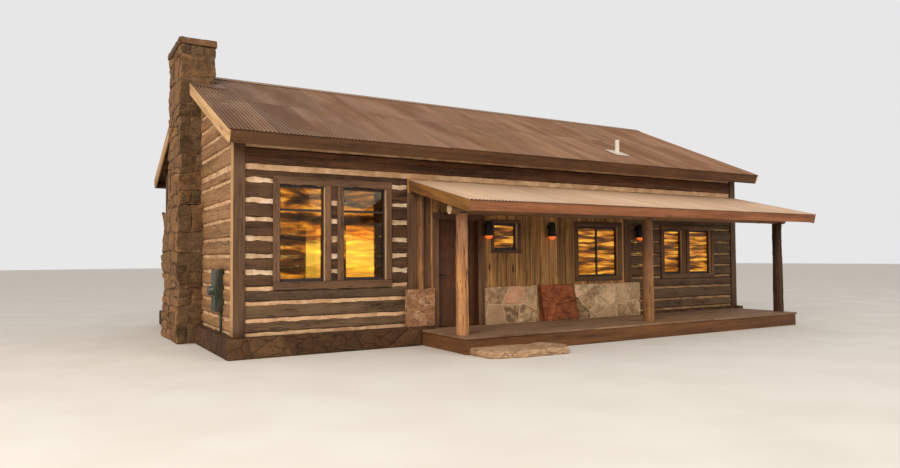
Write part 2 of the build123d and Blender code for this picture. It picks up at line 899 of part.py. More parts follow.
def make_entry_trim():
    """Upright boards, the peeled pole and the door casing on the entry wall."""
    ledger_low = porch_under(log_setback - ledger_thickness, porch_boards_drop + ledger_height)
    y0 = log_setback - trim_board_thickness
    boards = [
        block(along(s0), along(s1), y0, log_setback, low, ledger_low)
        for s0, s1, low in (
            (*pier_board, pier_height),
            (*pole_board, pier_height),
            (*corner_board, wainscot_height),
        )
    ]
    save("entry_trim_boards", *boards)
    pole_y = log_setback - entry_pole_radius
    save("entry_pole", upright(entry_pole_radius, along(entry_pole_place), pole_y, pier_height, ledger_low))
    y0 = log_setback - casing_thickness
    clear0, clear1 = along(door_start) + casing_lap, along(door_start + door_width) - casing_lap
    x0, x1 = clear0 - door_casing_width, clear1 + door_casing_width
    low = door_head - casing_lap
    save(
        "door_casing",
        block(x0, x1, y0, log_setback, low, low + door_casing_width),
        block(x0, clear0, y0, log_setback, floor_top, low - board_joint),
        block(clear1, x1, y0, log_setback, floor_top, low - board_joint),
    )


def make_stonework():
    """Pier and wainscots of the entry wall, and the step before the porch."""
    low, high = floor_top, wainscot_height
    y0 = log_setback - wainscot_thickness
    pier = block(along(pier_start), along(pier_end), -footing_overhang, log_setback, wall_base, pier_height)
    left0, left1 = along(wainscot_left_start), along(wainscot_left_end)
    red0 = left1 + red_panel_gap
    red1 = red0 + red_panel_width
    foot0, foot1 = red0 + red_panel_lean[0], red1 + red_panel_lean[1]
    end = along(wainscot_right_end)
    left = block(left0, left1, y0, log_setback, low, high)
    right = [(foot1 + stone_joint, low), (end, low), (end, high), (red1 + stone_joint, high)]
    save("entry_stonework", pier, left, prism_y(right, y0, log_setback))
    red = [(foot0, low), (foot1, low), (red1, high), (red0, high)]
    save("red_stone_panel", prism_y(red, y0, log_setback))
    step = [(along(step_start) + dx, rim_line - dy) for dx, dy in step_outline]
    save("stone_step", prism_z(step, 0, step_thickness))


def make_door():
    """Frame, sill, panelled leaf, hinges and handles of the entry door."""
    x0, x1 = along(door_start), along(door_start + door_width)
    clear0, clear1 = x0 + jamb_thickness, x1 - jamb_thickness
    clear_top = door_head - jamb_thickness
    edge = footing_width - footing_overhang - floor_bearing
    sill = block(x0, x1, log_setback, edge, floor_top - floor_thickness, floor_top)
    frame = block(x0, x1, log_setback, wall_inner, floor_top, door_head)
    frame -= block(clear0, clear1, log_setback, wall_inner, floor_top, clear_top)
    leaf_y0, leaf_y1 = wall_inner - leaf_thickness, wall_inner
    stop_y1 = leaf_y0 - door_gap
    stop = block(clear0, clear1, stop_y1 - stop_thickness, stop_y1, floor_top, clear_top)
    stop -= block(
        clear0 + stop_width, clear1 - stop_width, stop_y1 - stop_thickness, stop_y1,
        floor_top, clear_top - stop_width,
    )
    save("door_frame", frame + stop + sill)
    leaf_x0, leaf_x1 = clear0 + door_gap, clear1 - door_gap
    leaf_z0, leaf_z1 = floor_top + leaf_clearance, clear_top - door_gap
    leaf = block(leaf_x0, leaf_x1, leaf_y0, leaf_y1, leaf_z0, leaf_z1)
    middle = (leaf_x0 + leaf_x1) / 2
    half_stile = panel_border / 2
    lock_rail = leaf_z0 + lock_rail_height
    panels = (
        (leaf_x0 + panel_border, middle - half_stile),
        (middle + half_stile, leaf_x1 - panel_border),
    )
    for p0, p1 in panels:
        for low, high in (
            (leaf_z0 + 2 * panel_border, lock_rail - half_stile),
            (lock_rail + half_stile, leaf_z1 - panel_border),
        ):
            leaf -= block(p0, p1, leaf_y0, leaf_y0 + panel_recess, low, high)
            leaf -= block(p0, p1, leaf_y1 - panel_recess, leaf_y1, low, high)
    save("door_leaf", leaf)
    make_handles(leaf_x0 + handle_inset, leaf_y0, leaf_y1)
    make_hinges(clear1 - door_gap / 2, wall_inner + hinge_radius + hinge_standoff)


def make_handles(x, y0, y1):
    """Lever handle on each face of the leaf."""
    z = floor_top + handle_height
    handles = []
    for face, sign in ((y0, -1), (y1, 1)):
        reach = sorted((face, face + sign * rose_thickness))
        neck = sorted((face, face + sign * lever_reach))
        handle = bar_along_y(rose_radius, x, z, *reach) + bar_along_y(neck_radius, x, z, *neck)
        lever_y = face + sign * (lever_reach - neck_radius)
        handle += bar_along_x(neck_radius, lever_y, z, x, x + lever_length)
        handles.append(handle)
    save("door_handles", *handles)


def make_hinges(x, y):
    """Lift-off hinges: pin and lower knuckle on the frame, upper knuckle on the leaf."""
    pins, knuckles = [], []
    half = hinge_length / 2
    plate_y = (wall_inner, wall_inner + hinge_leaf_thickness)
    for height in hinge_heights:
        z = floor_top + height
        fixed = upright(hinge_radius, x, y, z - half, z - hinge_clearance)
        fixed += block(x, x + hinge_leaf_width, *plate_y, z - half, z - hinge_clearance)
        pins.append(fixed + upright(hinge_pin_radius, x, y, z - half, z + half))
        moving = upright(hinge_radius, x, y, z, z + half)
        moving += block(x - hinge_leaf_width, x, *plate_y, z, z + half)
        knuckles.append(moving - upright(hinge_pin_radius + hinge_clearance, x, y, z, z + half))
    save("hinge_pins", *pins)
    save("hinge_knuckles", *knuckles)


def make_fittings():
    """Wall lamps, roof vent and the meter box on the left gable."""
    lamps, globes = [], []
    for place in lamp_places:
        x, y = along(place), log_setback - lamp_reach
        low = lamp_height - lamp_drop
        half = lamp_arm_width / 2
        arm = block(x - half, x + half, y, log_setback, low, lamp_height - lamp_drop / 2)
        lamps.append(upright(lamp_radius, x, y, low, lamp_height) + arm)
        glass = Cone(globe_foot_radius, globe_radius, globe_height)
        globes.append(Pos(x, y, low - globe_height / 2) * glass)
    save("wall_lamps", *lamps)
    save("lamp_globes", *globes)
    x, y = along(vent_place), vent_line
    half = vent_plate_size / 2
    run = half * cos(pitch)
    lift = vent_plate_thickness / cos(pitch)
    flashing = roof_layer(y - run, y + run, -lift, 0, x - half, x + half)
    pipe = upright(vent_radius, x, y, roof_under(y) - vent_height, roof_under(y) + vent_height)
    save("roof_vent", flashing + (pipe - roof_layer(y - run, y + run, 0, beyond, x - half, x + half)))
    gable = -half_length + log_setback
    y0, y1 = box_place - box_width / 2, box_place + box_width / 2
    box = block(gable - box_depth, gable, y0, y1, box_bottom, box_bottom + box_height)
    meter_x = gable - box_depth - meter_depth / 2
    meter_z = box_bottom + box_height / 2
    meter = Pos(meter_x, box_place, meter_z) * Rot(0, 90, 0) * Cylinder(meter_radius, meter_depth)
    conduit = upright(conduit_radius, gable - conduit_radius, y0 + box_width / 4, wall_base, box_bottom)
    save("meter_box", box + meter + conduit)


os.makedirs("parts", exist_ok=True)
make_footings()
make_floor()
make_corner_posts()
make_log_walls()
make_chimney()
make_roof()
make_rafters()
make_porch_floor()
make_porch_frame()
make_porch_roof()
make_entry_wall()
make_windows()
make_casings()
make_entry_trim()
make_stonework()
make_door()
make_fittings()
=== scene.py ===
"""Looks of the log cabin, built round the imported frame. Lengths are in metres."""

import logging
import math
import random
from collections.abc import Callable, Iterable, Sequence
from dataclasses import dataclass, field, replace
from enum import Enum

import bmesh
import bpy
from mathutils import Matrix, Vector, noise


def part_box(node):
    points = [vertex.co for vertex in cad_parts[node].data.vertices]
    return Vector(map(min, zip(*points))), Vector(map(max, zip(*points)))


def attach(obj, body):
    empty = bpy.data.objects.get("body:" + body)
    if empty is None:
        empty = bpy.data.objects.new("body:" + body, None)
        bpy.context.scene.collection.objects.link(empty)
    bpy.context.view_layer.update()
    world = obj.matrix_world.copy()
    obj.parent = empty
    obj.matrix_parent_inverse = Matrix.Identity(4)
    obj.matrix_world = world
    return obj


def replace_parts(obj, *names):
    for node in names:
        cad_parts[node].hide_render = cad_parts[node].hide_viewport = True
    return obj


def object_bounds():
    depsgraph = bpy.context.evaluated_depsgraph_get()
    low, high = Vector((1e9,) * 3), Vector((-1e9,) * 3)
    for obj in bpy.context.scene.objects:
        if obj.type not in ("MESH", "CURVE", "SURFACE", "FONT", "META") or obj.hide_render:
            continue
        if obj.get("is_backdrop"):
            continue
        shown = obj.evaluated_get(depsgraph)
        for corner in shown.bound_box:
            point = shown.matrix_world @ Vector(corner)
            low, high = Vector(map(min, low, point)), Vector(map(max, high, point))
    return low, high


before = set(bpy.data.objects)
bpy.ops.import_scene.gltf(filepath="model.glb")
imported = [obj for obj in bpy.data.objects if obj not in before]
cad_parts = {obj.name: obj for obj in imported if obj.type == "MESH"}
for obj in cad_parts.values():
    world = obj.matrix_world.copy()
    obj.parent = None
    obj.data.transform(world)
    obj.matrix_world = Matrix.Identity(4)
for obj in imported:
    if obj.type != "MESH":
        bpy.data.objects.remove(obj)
cad_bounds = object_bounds()

log = logging.getLogger("cabin")

Colour = tuple[float, float, float]
Scale3 = tuple[float, float, float]
Point2 = tuple[float, float]
Box = tuple[Vector, Vector]
Line = tuple[Vector, Vector]
Face = tuple[int, ...]
Socket = bpy.types.NodeSocket
Placer = Callable[[float, float, float], Vector]

CABIN = "cabin"
TONE = "tone"
MORTAR = 1
NOISE_SEED = 1
MERGE_DISTANCE = 0.00002
CUT_DISTANCE = 0.001
SHEET_END = 0.01
SLAB_THICKNESS = 0.03
NEAR = 0.001
FLAT_ANGLE = math.radians(1)
SHARP_ANGLE = math.radians(25)
SMOOTH_ANGLE = math.radians(38)
MAIN_CORRUGATION = 0.0677
PORCH_CORRUGATION = 0.076
ROOF_SLOPE = math.radians(24.1)
PORCH_SLOPE = math.radians(17.4)


class Axis(Enum):
    """Direction of a board, a log or a grain."""

    X = 0
    Y = 1
    Z = 2


class Side(Enum):
    """Face of a box: the number of its axis, and the sign of its outward direction."""

    FRONT = (1, -1)
    BACK = (1, 1)
    LEFT = (0, -1)
    RIGHT = (0, 1)
    TOP = (2, 1)


def srgb(red: int, green: int, blue: int) -> Colour:
    """Linear colour for a screen colour of 0 to 255 a channel."""

    def linear(value: int) -> float:
        """Linear value of one channel."""
        share = value / 255
        return share / 12.92 if share <= 0.04045 else ((share + 0.055) / 1.055) ** 2.4

    return linear(red), linear(green), linear(blue)


def darker(colour: Colour, share: float) -> Colour:
    """The colour with that share of its light."""
    red, green, blue = colour
    return red * share, green * share, blue * share


def opaque(colour: Colour) -> tuple[float, float, float, float]:
    """The colour with a full alpha."""
    return (*colour, 1.0)


# Shader nodes

class Graph:
    """Adds nodes to one shader tree and joins them."""

    def __init__(self, tree: bpy.types.NodeTree) -> None:
        """Keeps the tree that the nodes go into."""
        self.tree = tree

    def add(self, kind: str, **settings: object) -> bpy.types.Node:
        """Adds a node.

        Args:
            kind: The node's Blender type.
            settings: Attributes to set on it.

        Returns:
            The node.
        """
        node = self.tree.nodes.new(kind)
        for key, value in settings.items():
            setattr(node, key, value)
        return node

    def feed(self, socket: Socket, value: object) -> None:
        """Links a socket into another one, or sets it to a plain value."""
        if isinstance(value, Socket):
            self.tree.links.new(value, socket)
        else:
            socket.default_value = value

    def joined(self, node: bpy.types.Node, first: object, second: object) -> Socket:
        """Result of a node on two values or sockets."""
        self.feed(node.inputs[0], first)
        self.feed(node.inputs[1], second)
        return node.outputs[0]

    def math(self, kind: str, first: object, second: object = 0.0) -> Socket:
        """Result of a Math node on two values or sockets."""
        return self.joined(self.add("ShaderNodeMath", operation=kind), first, second)

    def times(self, first: object, second: object) -> Socket:
        """Product of two values or sockets."""
        return self.math("MULTIPLY", first, second)

    def plus(self, first: object, second: object) -> Socket:
        """Sum of two values or sockets."""
        return self.math("ADD", first, second)

    def minus(self, first: object, second: object) -> Socket:
        """Difference of two values or sockets."""
        return self.math("SUBTRACT", first, second)

    def stretch(self, vector: Socket, scale: Scale3) -> Socket:
        """Coordinates scaled by a factor along each axis."""
        return self.joined(self.add("ShaderNodeVectorMath", operation="MULTIPLY"), vector, scale)

    def shift(self, vector: Socket, by: Socket) -> Socket:
        """Coordinates moved by a socket's value on every axis."""
        return self.joined(self.add("ShaderNodeVectorMath", operation="ADD"), vector, by)

    def parts(self, vector: Socket) -> bpy.types.NodeOutputs:
        """X, Y and Z of a vector."""
        node = self.add("ShaderNodeSeparateXYZ")
        self.feed(node.inputs[0], vector)
        return node.outputs

    def mix(self, share: object, first: object, second: object, kind: str = "MIX") -> Socket:
        """Colour between two colours or sockets, by a share or a mask."""
        node = self.add("ShaderNodeMix", data_type="RGBA", blend_type=kind)
        self.feed(node.inputs["Factor"], share)
        for name, value in (("A", first), ("B", second)):
            sockets = [s for s in node.inputs if s.name == name and s.type == "RGBA"]
            self.feed(sockets[0], opaque(value) if isinstance(value, tuple) else value)
        return next(s for s in node.outputs if s.type == "RGBA")

    def over(self, colour: object, other: object, mask: Socket, share: float) -> Socket:
        """The colour with another one laid over it, by a share of a mask."""
        return self.mix(self.times(mask, share), colour, other)

    def shaded(self, colour: object, level: Socket) -> Socket:
        """The colour made darker or lighter by a level."""
        grey = self.add("ShaderNodeCombineColor")
        for socket in grey.inputs:
            self.feed(socket, level)
        return self.mix(1.0, colour, grey.outputs[0], "MULTIPLY")

    def ramp(self, value: Socket, colours: Sequence[Colour]) -> Socket:
        """Colour from a ramp over evenly spread colours."""
        node = self.add("ShaderNodeValToRGB")
        elements = node.color_ramp.elements
        while len(elements) < len(colours):
            elements.new(0.5)
        for number, (element, colour) in enumerate(zip(elements, colours)):
            element.position = number / (len(colours) - 1)
            element.color = opaque(colour)
        self.feed(node.inputs[0], value)
        return node.outputs[0]

    def band(self, value: Socket, low: float, high: float, first: float = 0.0, last: float = 1.0) -> Socket:
        """Value carried smoothly from one range to another, and held at its ends."""
        node = self.add("ShaderNodeMapRange", interpolation_type="SMOOTHSTEP", clamp=True)
        self.feed(node.inputs["Value"], value)
        for name, number in (("From Min", low), ("From Max", high), ("To Min", first), ("To Max", last)):
            node.inputs[name].default_value = number
        return node.outputs["Result"]

    def between(self, mask: Socket, first: float, last: float) -> Socket:
        """Mask carried smoothly to another range."""
        return self.band(mask, 0.0, 1.0, first, last)

    def noise(
        self, vector: Socket, scale: float | Scale3,
        detail: float = 3, roughness: float = 0.5, warp: float = 0,
    ) -> Socket:
        """Value of a noise texture, of one scale or of one along each axis."""
        if isinstance(scale, tuple):
            vector, scale = self.stretch(vector, scale), 1.0
        node = self.add("ShaderNodeTexNoise")
        self.feed(node.inputs["Vector"], vector)
        settings = {"Scale": scale, "Detail": detail, "Roughness": roughness, "Distortion": warp}
        for name, number in settings.items():
            node.inputs[name].default_value = number
        return node.outputs[0]

    def cells(self, vector: Socket, scale: float, feature: str = "F1") -> Socket:
        """Distance in a Voronoi texture, from a cell's middle or from its edge."""
        node = self.add("ShaderNodeTexVoronoi", feature=feature)
        self.feed(node.inputs["Vector"], vector)
        node.inputs["Scale"].default_value = scale
        return node.outputs["Distance"]

    def bump(self, height: Socket, distance: float, strength: float) -> Socket:
        """Normal of a bump map."""
        node = self.add("ShaderNodeBump")
        node.inputs["Strength"].default_value = strength
        node.inputs["Distance"].default_value = distance
        self.feed(node.inputs["Height"], height)
        return node.outputs[0]


class EffectGroup:
    """A shader node group with named inputs and outputs, built once."""

    def __init__(self, name: str, outputs: Sequence[str], **numbers: float) -> None:
        """Makes the group's sockets.

        Args:
            name: The group's name.
            outputs: Names of the masks and values that it gives.
            numbers: Default of each number that it takes besides its vector, by name.
        """
        self.tree = bpy.data.node_groups.new(name, "ShaderNodeTree")
        sockets = self.tree.interface
        sockets.new_socket("Vector", in_out="INPUT", socket_type="NodeSocketVector")
        for label, default in numbers.items():
            socket = sockets.new_socket(label, in_out="INPUT", socket_type="NodeSocketFloat")
            socket.default_value = default
        for label in outputs:
            sockets.new_socket(label, in_out="OUTPUT", socket_type="NodeSocketFloat")
        self.graph = Graph(self.tree)
        self.taken = self.graph.add("NodeGroupInput").outputs
        self.given = self.graph.add("NodeGroupOutput").inputs

    def parted(self, reach: float) -> Socket:
        """The group's vector, moved by its tone, so that no two pieces look alike."""
        return self.graph.shift(self.taken["Vector"], self.graph.times(self.taken["Tone"], reach))

    def give(self, **values: Socket) -> None:
        """Feeds the group's outputs, by name."""
        for label, value in values.items():
            self.graph.feed(self.given[label], value)

    def place(self, graph: Graph, **values: object) -> bpy.types.NodeOutputs:
        """Places the group in a material.

        Args:
            graph: The material's graph.
            values: Value or socket of each input, by its name in lower case.

        Returns:
            The placed group's outputs.
        """
        node = graph.add("ShaderNodeGroup", node_tree=self.tree)
        for socket in node.inputs:
            if socket.name.lower() in values:
                graph.feed(socket, values[socket.name.lower()])
        return node.outputs


def make_grain_group() -> EffectGroup:
    """Wood grain along the vector's X: broad bands, fibres, drying cracks and knots."""
    group = EffectGroup("wood_grain", ("Bands", "Fibres", "Cracks", "Knots"), Tone=0.0)
    g = group.graph
    vector = group.parted(41.7)
    wander = g.noise(vector, (0.9, 2.2, 2.2), 2)
    swayed = g.shift(vector, g.times(wander, 0.05))
    splits = g.noise(swayed, (0.75, 17.0, 17.0), 2)
    line = g.band(g.math("ABSOLUTE", g.minus(splits, 0.5)), 0.0, 0.022, 1.0, 0.0)
    where = g.band(g.noise(vector, (0.9, 4.0, 4.0), 2), 0.45, 0.6)
    knots = g.cells(g.stretch(vector, (1.3, 4.2, 4.2)), 1.0)
    group.give(
        Bands=g.band(g.noise(swayed, (0.55, 9.0, 9.0), 4, 0.6), 0.28, 0.72),
        Fibres=g.noise(swayed, (3.0, 95.0, 95.0), 3, 0.65),
        Cracks=g.times(line, where),
        Knots=g.band(knots, 0.06, 0.17, 1.0, 0.0),
    )
    return group


def make_weather_group() -> EffectGroup:
    """Blotches of weathering, broad and fine."""
    group = EffectGroup("weathering", ("Mask", "Fine"), Tone=0.0)
    g = group.graph
    vector = group.parted(17.3)
    group.give(
        Mask=g.band(g.noise(vector, 1.7, 5, 0.6, 0.4), 0.36, 0.66),
        Fine=g.band(g.noise(vector, 14.0, 4, 0.6), 0.35, 0.7),
    )
    return group


def make_stone_group() -> EffectGroup:
    """Skin of split stone: mottling, pits, bedding lines, stains and cracks."""
    group = EffectGroup("stone_skin", ("Mottle", "Pits", "Height", "Stain", "Cracks"), Tone=0.0)
    g = group.graph
    vector = group.parted(29.1)
    mottle = g.noise(vector, 6.5, 6, 0.65, 0.3)
    fine = g.noise(vector, 42.0, 4, 0.7)
    beds = g.noise(vector, (3.0, 3.0, 26.0), 4, 0.6, 0.6)
    height = g.plus(g.times(mottle, 0.8), g.times(beds, 0.7))
    bent = g.shift(vector, g.times(g.noise(vector, 4.0, 3, 0.6), 0.3))
    seams = g.cells(g.stretch(bent, (1.0, 1.0, 1.7)), 2.4, "DISTANCE_TO_EDGE")
    group.give(
        Mottle=g.band(mottle, 0.3, 0.7),
        Pits=g.band(g.cells(vector, 34.0), 0.05, 0.32, 1.0, 0.0),
        Height=g.plus(height, g.times(fine, 0.35)),
        Stain=g.band(g.noise(vector, 2.3, 3, 0.55, 0.5), 0.42, 0.66),
        Cracks=g.band(seams, 0.004, 0.03, 1.0, 0.0),
    )
    return group


def make_rust_group() -> EffectGroup:
    """Rust on metal sheet: streaks that run down the slope, blooms and grit."""
    group = EffectGroup("rust", ("Streaks", "Blooms", "Grit"), Tone=0.0)
    g = group.graph
    vector = group.parted(5.3)
    blooms = g.noise(g.stretch(vector, (0.8, 0.3, 0.3)), 1.15, 6, 0.62, 0.5)
    group.give(
        Streaks=g.band(g.noise(vector, (2.6, 0.3, 0.3), 4, 0.55), 0.36, 0.66),
        Blooms=g.band(blooms, 0.4, 0.64),
        Grit=g.noise(vector, 55.0, 4, 0.65),
    )
    return group


def make_dust_group() -> EffectGroup:
    """Dust and grime that settle on faces that look up, as a mask."""
    group = EffectGroup("dust", ("Mask",))
    g = group.graph
    up = g.band(g.parts(g.add("ShaderNodeNewGeometry").outputs["Normal"])["Z"], 0.25, 0.95)
    patches = g.band(g.noise(group.taken["Vector"], 5.0, 4, 0.6), 0.3, 0.65)
    group.give(Mask=g.times(up, patches))
    return group


def make_plank_group() -> EffectGroup:
    """Joints between planks that lie side by side along the vector's Y, and each plank's tone."""
    group = EffectGroup("planking", ("Joint", "Plank"), Width=0.15)
    g = group.graph
    count = g.math("DIVIDE", g.parts(group.taken["Vector"])["Y"], group.taken["Width"])
    inside = g.math("ABSOLUTE", g.minus(g.math("FRACT", count), 0.5))
    scattered = g.times(g.math("SINE", g.times(g.math("FLOOR", count), 12.9)), 43.7)
    group.give(Joint=g.band(inside, 0.45, 0.49), Plank=g.math("FRACT", scattered))
    return group


@dataclass(frozen=True)
class Effects:
    """The shared shader groups, each built once."""

    grain: EffectGroup = field(default_factory=make_grain_group)
    weather: EffectGroup = field(default_factory=make_weather_group)
    stone: EffectGroup = field(default_factory=make_stone_group)
    rust: EffectGroup = field(default_factory=make_rust_group)
    dust: EffectGroup = field(default_factory=make_dust_group)
    planks: EffectGroup = field(default_factory=make_plank_group)


effects = Effects()


# Finishes

GRAIN_TURNS = {Axis.X: (0.0, 0.0), Axis.Y: (0.0, math.pi / 2), Axis.Z: (math.pi / 2, 0.0)}


class Surface:
    """A material under way: its Principled shader, coordinates and tone."""

    def __init__(self, name: str) -> None:
        """Starts a material of that name."""
        self.material = bpy.data.materials.new(name)
        self.material.use_nodes = True
        self.graph = Graph(self.material.node_tree)
        self.shader = self.material.node_tree.nodes["Principled BSDF"]
        self.place = self.graph.add("ShaderNodeTexCoord").outputs["Object"]
        self.tone = self.graph.add("ShaderNodeAttribute", attribute_name=TONE).outputs["Fac"]

    def turned(self, grain: Axis, slope: float) -> Socket:
        """Coordinates whose X runs along the grain, which may rise towards the back."""
        node = self.graph.add("ShaderNodeMapping")
        self.graph.feed(node.inputs["Vector"], self.place)
        node.inputs["Rotation"].default_value = (-slope, *GRAIN_TURNS[grain])
        return node.outputs[0]

    def effect(
        self, group: EffectGroup, vector: Socket | None = None, scale: float | None = None, **numbers: float
    ) -> bpy.types.NodeOutputs:
        """Places a shared effect.

        Args:
            group: The effect.
            vector: Its coordinates, if not the surface's own.
            scale: How much finer it is than usual.
            numbers: Its other numbers, by name.

        Returns:
            The effect's outputs.
        """
        vector = self.place if vector is None else vector
        if scale is not None:
            vector = self.graph.stretch(vector, (scale,) * 3)
        return group.place(self.graph, vector=vector, tone=self.tone, **numbers)

    def toned(self, colour: Socket, reach: float) -> Socket:
        """The colour made lighter or darker by the piece's tone."""
        level = self.graph.math("MULTIPLY_ADD", self.tone, reach)
        level.node.inputs[2].default_value = 1.0
        return self.graph.shaded(colour, level)

    def glow(self, colour: Socket, strength: float) -> None:
        """Lets the surface shine in a colour."""
        self.graph.feed(self.shader.inputs["Emission Color"], colour)
        self.shader.inputs["Emission Strength"].default_value = strength

    def finish(
        self, colour: Socket, roughness: object, normal: Socket | None = None, **plain: float
    ) -> bpy.types.Material:
        """Feeds the shader.

        Args:
            colour: Socket of the base colour.
            roughness: Roughness or its socket.
            normal: Socket of the bumped normal.
            plain: Other inputs of the shader, by name with underscores, as plain values.

        Returns:
            The material.
        """
        self.graph.feed(self.shader.inputs["Base Color"], colour)
        self.graph.feed(self.shader.inputs["Roughness"], roughness)
        if normal is not None:
            self.graph.feed(self.shader.inputs["Normal"], normal)
        for name, value in plain.items():
            label = name.replace("_", " ").title().replace("Ior", "IOR")
            self.shader.inputs[label].default_value = value
        return self.material


@dataclass(frozen=True)
class Finish:
    """A finish's name, and the record's slot that it stands for."""

    name: str
    slot: str


@dataclass(frozen=True)
class WoodFinish(Finish):
    """Wood with grain along one axis."""

    light: Colour
    dark: Colour
    patina: Colour
    grain: Axis = Axis.X
    patina_share: float = 0.5
    tone_reach: float = 0.16
    crack: float = 0.75
    knot: float = 0.5
    relief: float = 0.004
    roughness: float = 0.78
    fineness: float = 1.0
    plank_width: float = 0.0
    slope: float = 0.0
    grey_over: float = 0.0
    grey_share: float = 0.75
    dust_share: float = 0.3

    def make(self) -> bpy.types.Material:
        """Builds the material."""
        s = Surface(self.name)
        g = s.graph
        along = s.turned(self.grain, self.slope)
        grain = s.effect(effects.grain, along, self.fineness)
        weather = s.effect(effects.weather)
        dust = s.effect(effects.dust)
        share = g.times(weather["Mask"], self.patina_share)
        if self.grey_over:
            height = g.parts(s.place)["Z"]
            grey = g.band(height, self.grey_over, self.grey_over + 0.4, 0.0, self.grey_share)
            share = g.math("MAXIMUM", share, grey)
        colour = g.mix(share, g.mix(grain["Bands"], self.dark, self.light), self.patina)
        colour = g.shaded(colour, g.band(grain["Fibres"], 0.3, 0.7, 0.78, 1.14))
        colour = s.toned(colour, self.tone_reach)
        colour = g.over(colour, darker(self.dark, 0.3), grain["Knots"], self.knot)
        colour = g.over(colour, darker(self.dark, 0.18), grain["Cracks"], self.crack)
        colour = g.over(colour, self.patina, dust["Mask"], self.dust_share)
        height = g.minus(g.times(grain["Fibres"], 0.35), grain["Cracks"])
        height = g.plus(height, g.times(grain["Bands"], 0.5))
        if self.plank_width:
            planks = s.effect(effects.planks, along, width=self.plank_width)
            colour = g.shaded(colour, g.between(planks["Plank"], 0.8, 1.15))
            colour = g.mix(planks["Joint"], colour, darker(self.dark, 0.12))
            height = g.minus(height, g.times(planks["Joint"], 2.0))
        rough = g.between(weather["Fine"], self.roughness - 0.08, self.roughness + 0.12)
        return s.finish(colour, rough, g.bump(height, self.relief, 0.8), specular_ior_level=0.3)


@dataclass(frozen=True)
class StoneFinish(Finish):
    """Natural stone whose pieces differ in colour by their tone."""

    colours: tuple[Colour, ...]
    stain: Colour
    stain_share: float = 0.35
    crack: float = 0.0
    relief: float = 0.012
    roughness: float = 0.86
    pit_share: float = 0.4
    dust_share: float = 0.25

    def make(self) -> bpy.types.Material:
        """Builds the material."""
        s = Surface(self.name)
        g = s.graph
        skin = s.effect(effects.stone)
        dust = s.effect(effects.dust)
        choice = g.plus(g.times(s.tone, 0.5), 0.5)
        spread = g.plus(choice, g.between(skin["Mottle"], -0.09, 0.09))
        colour = g.shaded(g.ramp(spread, self.colours), g.between(skin["Mottle"], 0.8, 1.16))
        colour = g.over(colour, self.stain, skin["Stain"], self.stain_share)
        colour = g.over(colour, darker(self.stain, 0.3), skin["Pits"], self.pit_share)
        colour = g.over(colour, self.colours[0], dust["Mask"], self.dust_share)
        colour = g.over(colour, darker(self.stain, 0.2), skin["Cracks"], self.crack)
        height = g.minus(skin["Height"], g.times(skin["Pits"], self.pit_share))
        height = g.minus(height, g.times(skin["Cracks"], self.crack))
        rough = g.between(skin["Mottle"], self.roughness - 0.08, self.roughness + 0.08)
        return s.finish(colour, rough, g.bump(height, self.relief, 0.9), specular_ior_level=0.25)


@dataclass(frozen=True)
class SheetFinish(Finish):
    """Corrugated metal sheet with painted shade in its valleys, a painted highlight on its crests, painted
    shade towards its left end, and rust that streaks down the slope.
    """

    base: Colour
    pale: Colour
    rust: Colour
    rust_share: float
    pitch: float
    # Painted shade in the valleys and painted highlight on the crests.
    valley: float = 0.6
    crest: float = 1.12
    streak_share: float = 0.5
    # Painted shade towards the left end, and where it fades out.
    shaded_left: float = 1.0
    shade_from: float = -6.6
    shade_to: float = -2.6
    roughness: float = 0.6
    metallic: float = 0.1

    def make(self) -> bpy.types.Material:
        """Builds the material."""
        s = Surface(self.name)
        g = s.graph
        rust = s.effect(effects.rust)
        colour = g.over(self.base, self.pale, rust["Streaks"], self.streak_share)
        colour = g.over(colour, self.rust, rust["Blooms"], self.rust_share)
        across = g.parts(s.place)["X"]
        # Painted shade: valleys darker and crests lighter, and the whole sheet darker towards the left end.
        wave = g.math("COSINE", g.times(across, 2 * math.pi / self.pitch))
        shade = g.band(wave, -1.0, 0.9, self.valley, self.crest)
        left = g.band(across, self.shade_from, self.shade_to, self.shaded_left, 1.0)
        colour = g.shaded(colour, g.times(shade, left))
        colour = g.shaded(colour, g.band(rust["Grit"], 0.3, 0.7, 0.9, 1.1))
        rough = g.between(rust["Blooms"], self.roughness, self.roughness + 0.2)
        normal = g.bump(rust["Grit"], 0.0012, 0.6)
        return s.finish(s.toned(colour, 0.1), rough, normal, metallic=self.metallic, specular_ior_level=0.4)


@dataclass(frozen=True)
class PaintFinish(Finish):
    """Painted or dark coated metal, a little dusty and uneven."""

    colour: Colour
    dusty: Colour
    roughness: float = 0.45
    metallic: float = 0.0

    def make(self) -> bpy.types.Material:
        """Builds the material."""
        s = Surface(self.name)
        g = s.graph
        weather = s.effect(effects.weather, scale=2.0)
        dust = s.effect(effects.dust)
        colour = g.over(self.colour, self.dusty, weather["Mask"], 0.3)
        colour = g.over(colour, self.dusty, dust["Mask"], 0.5)
        rough = g.between(weather["Fine"], self.roughness - 0.08, self.roughness + 0.15)
        return s.finish(colour, rough, g.bump(weather["Fine"], 0.0008, 0.5), metallic=self.metallic)


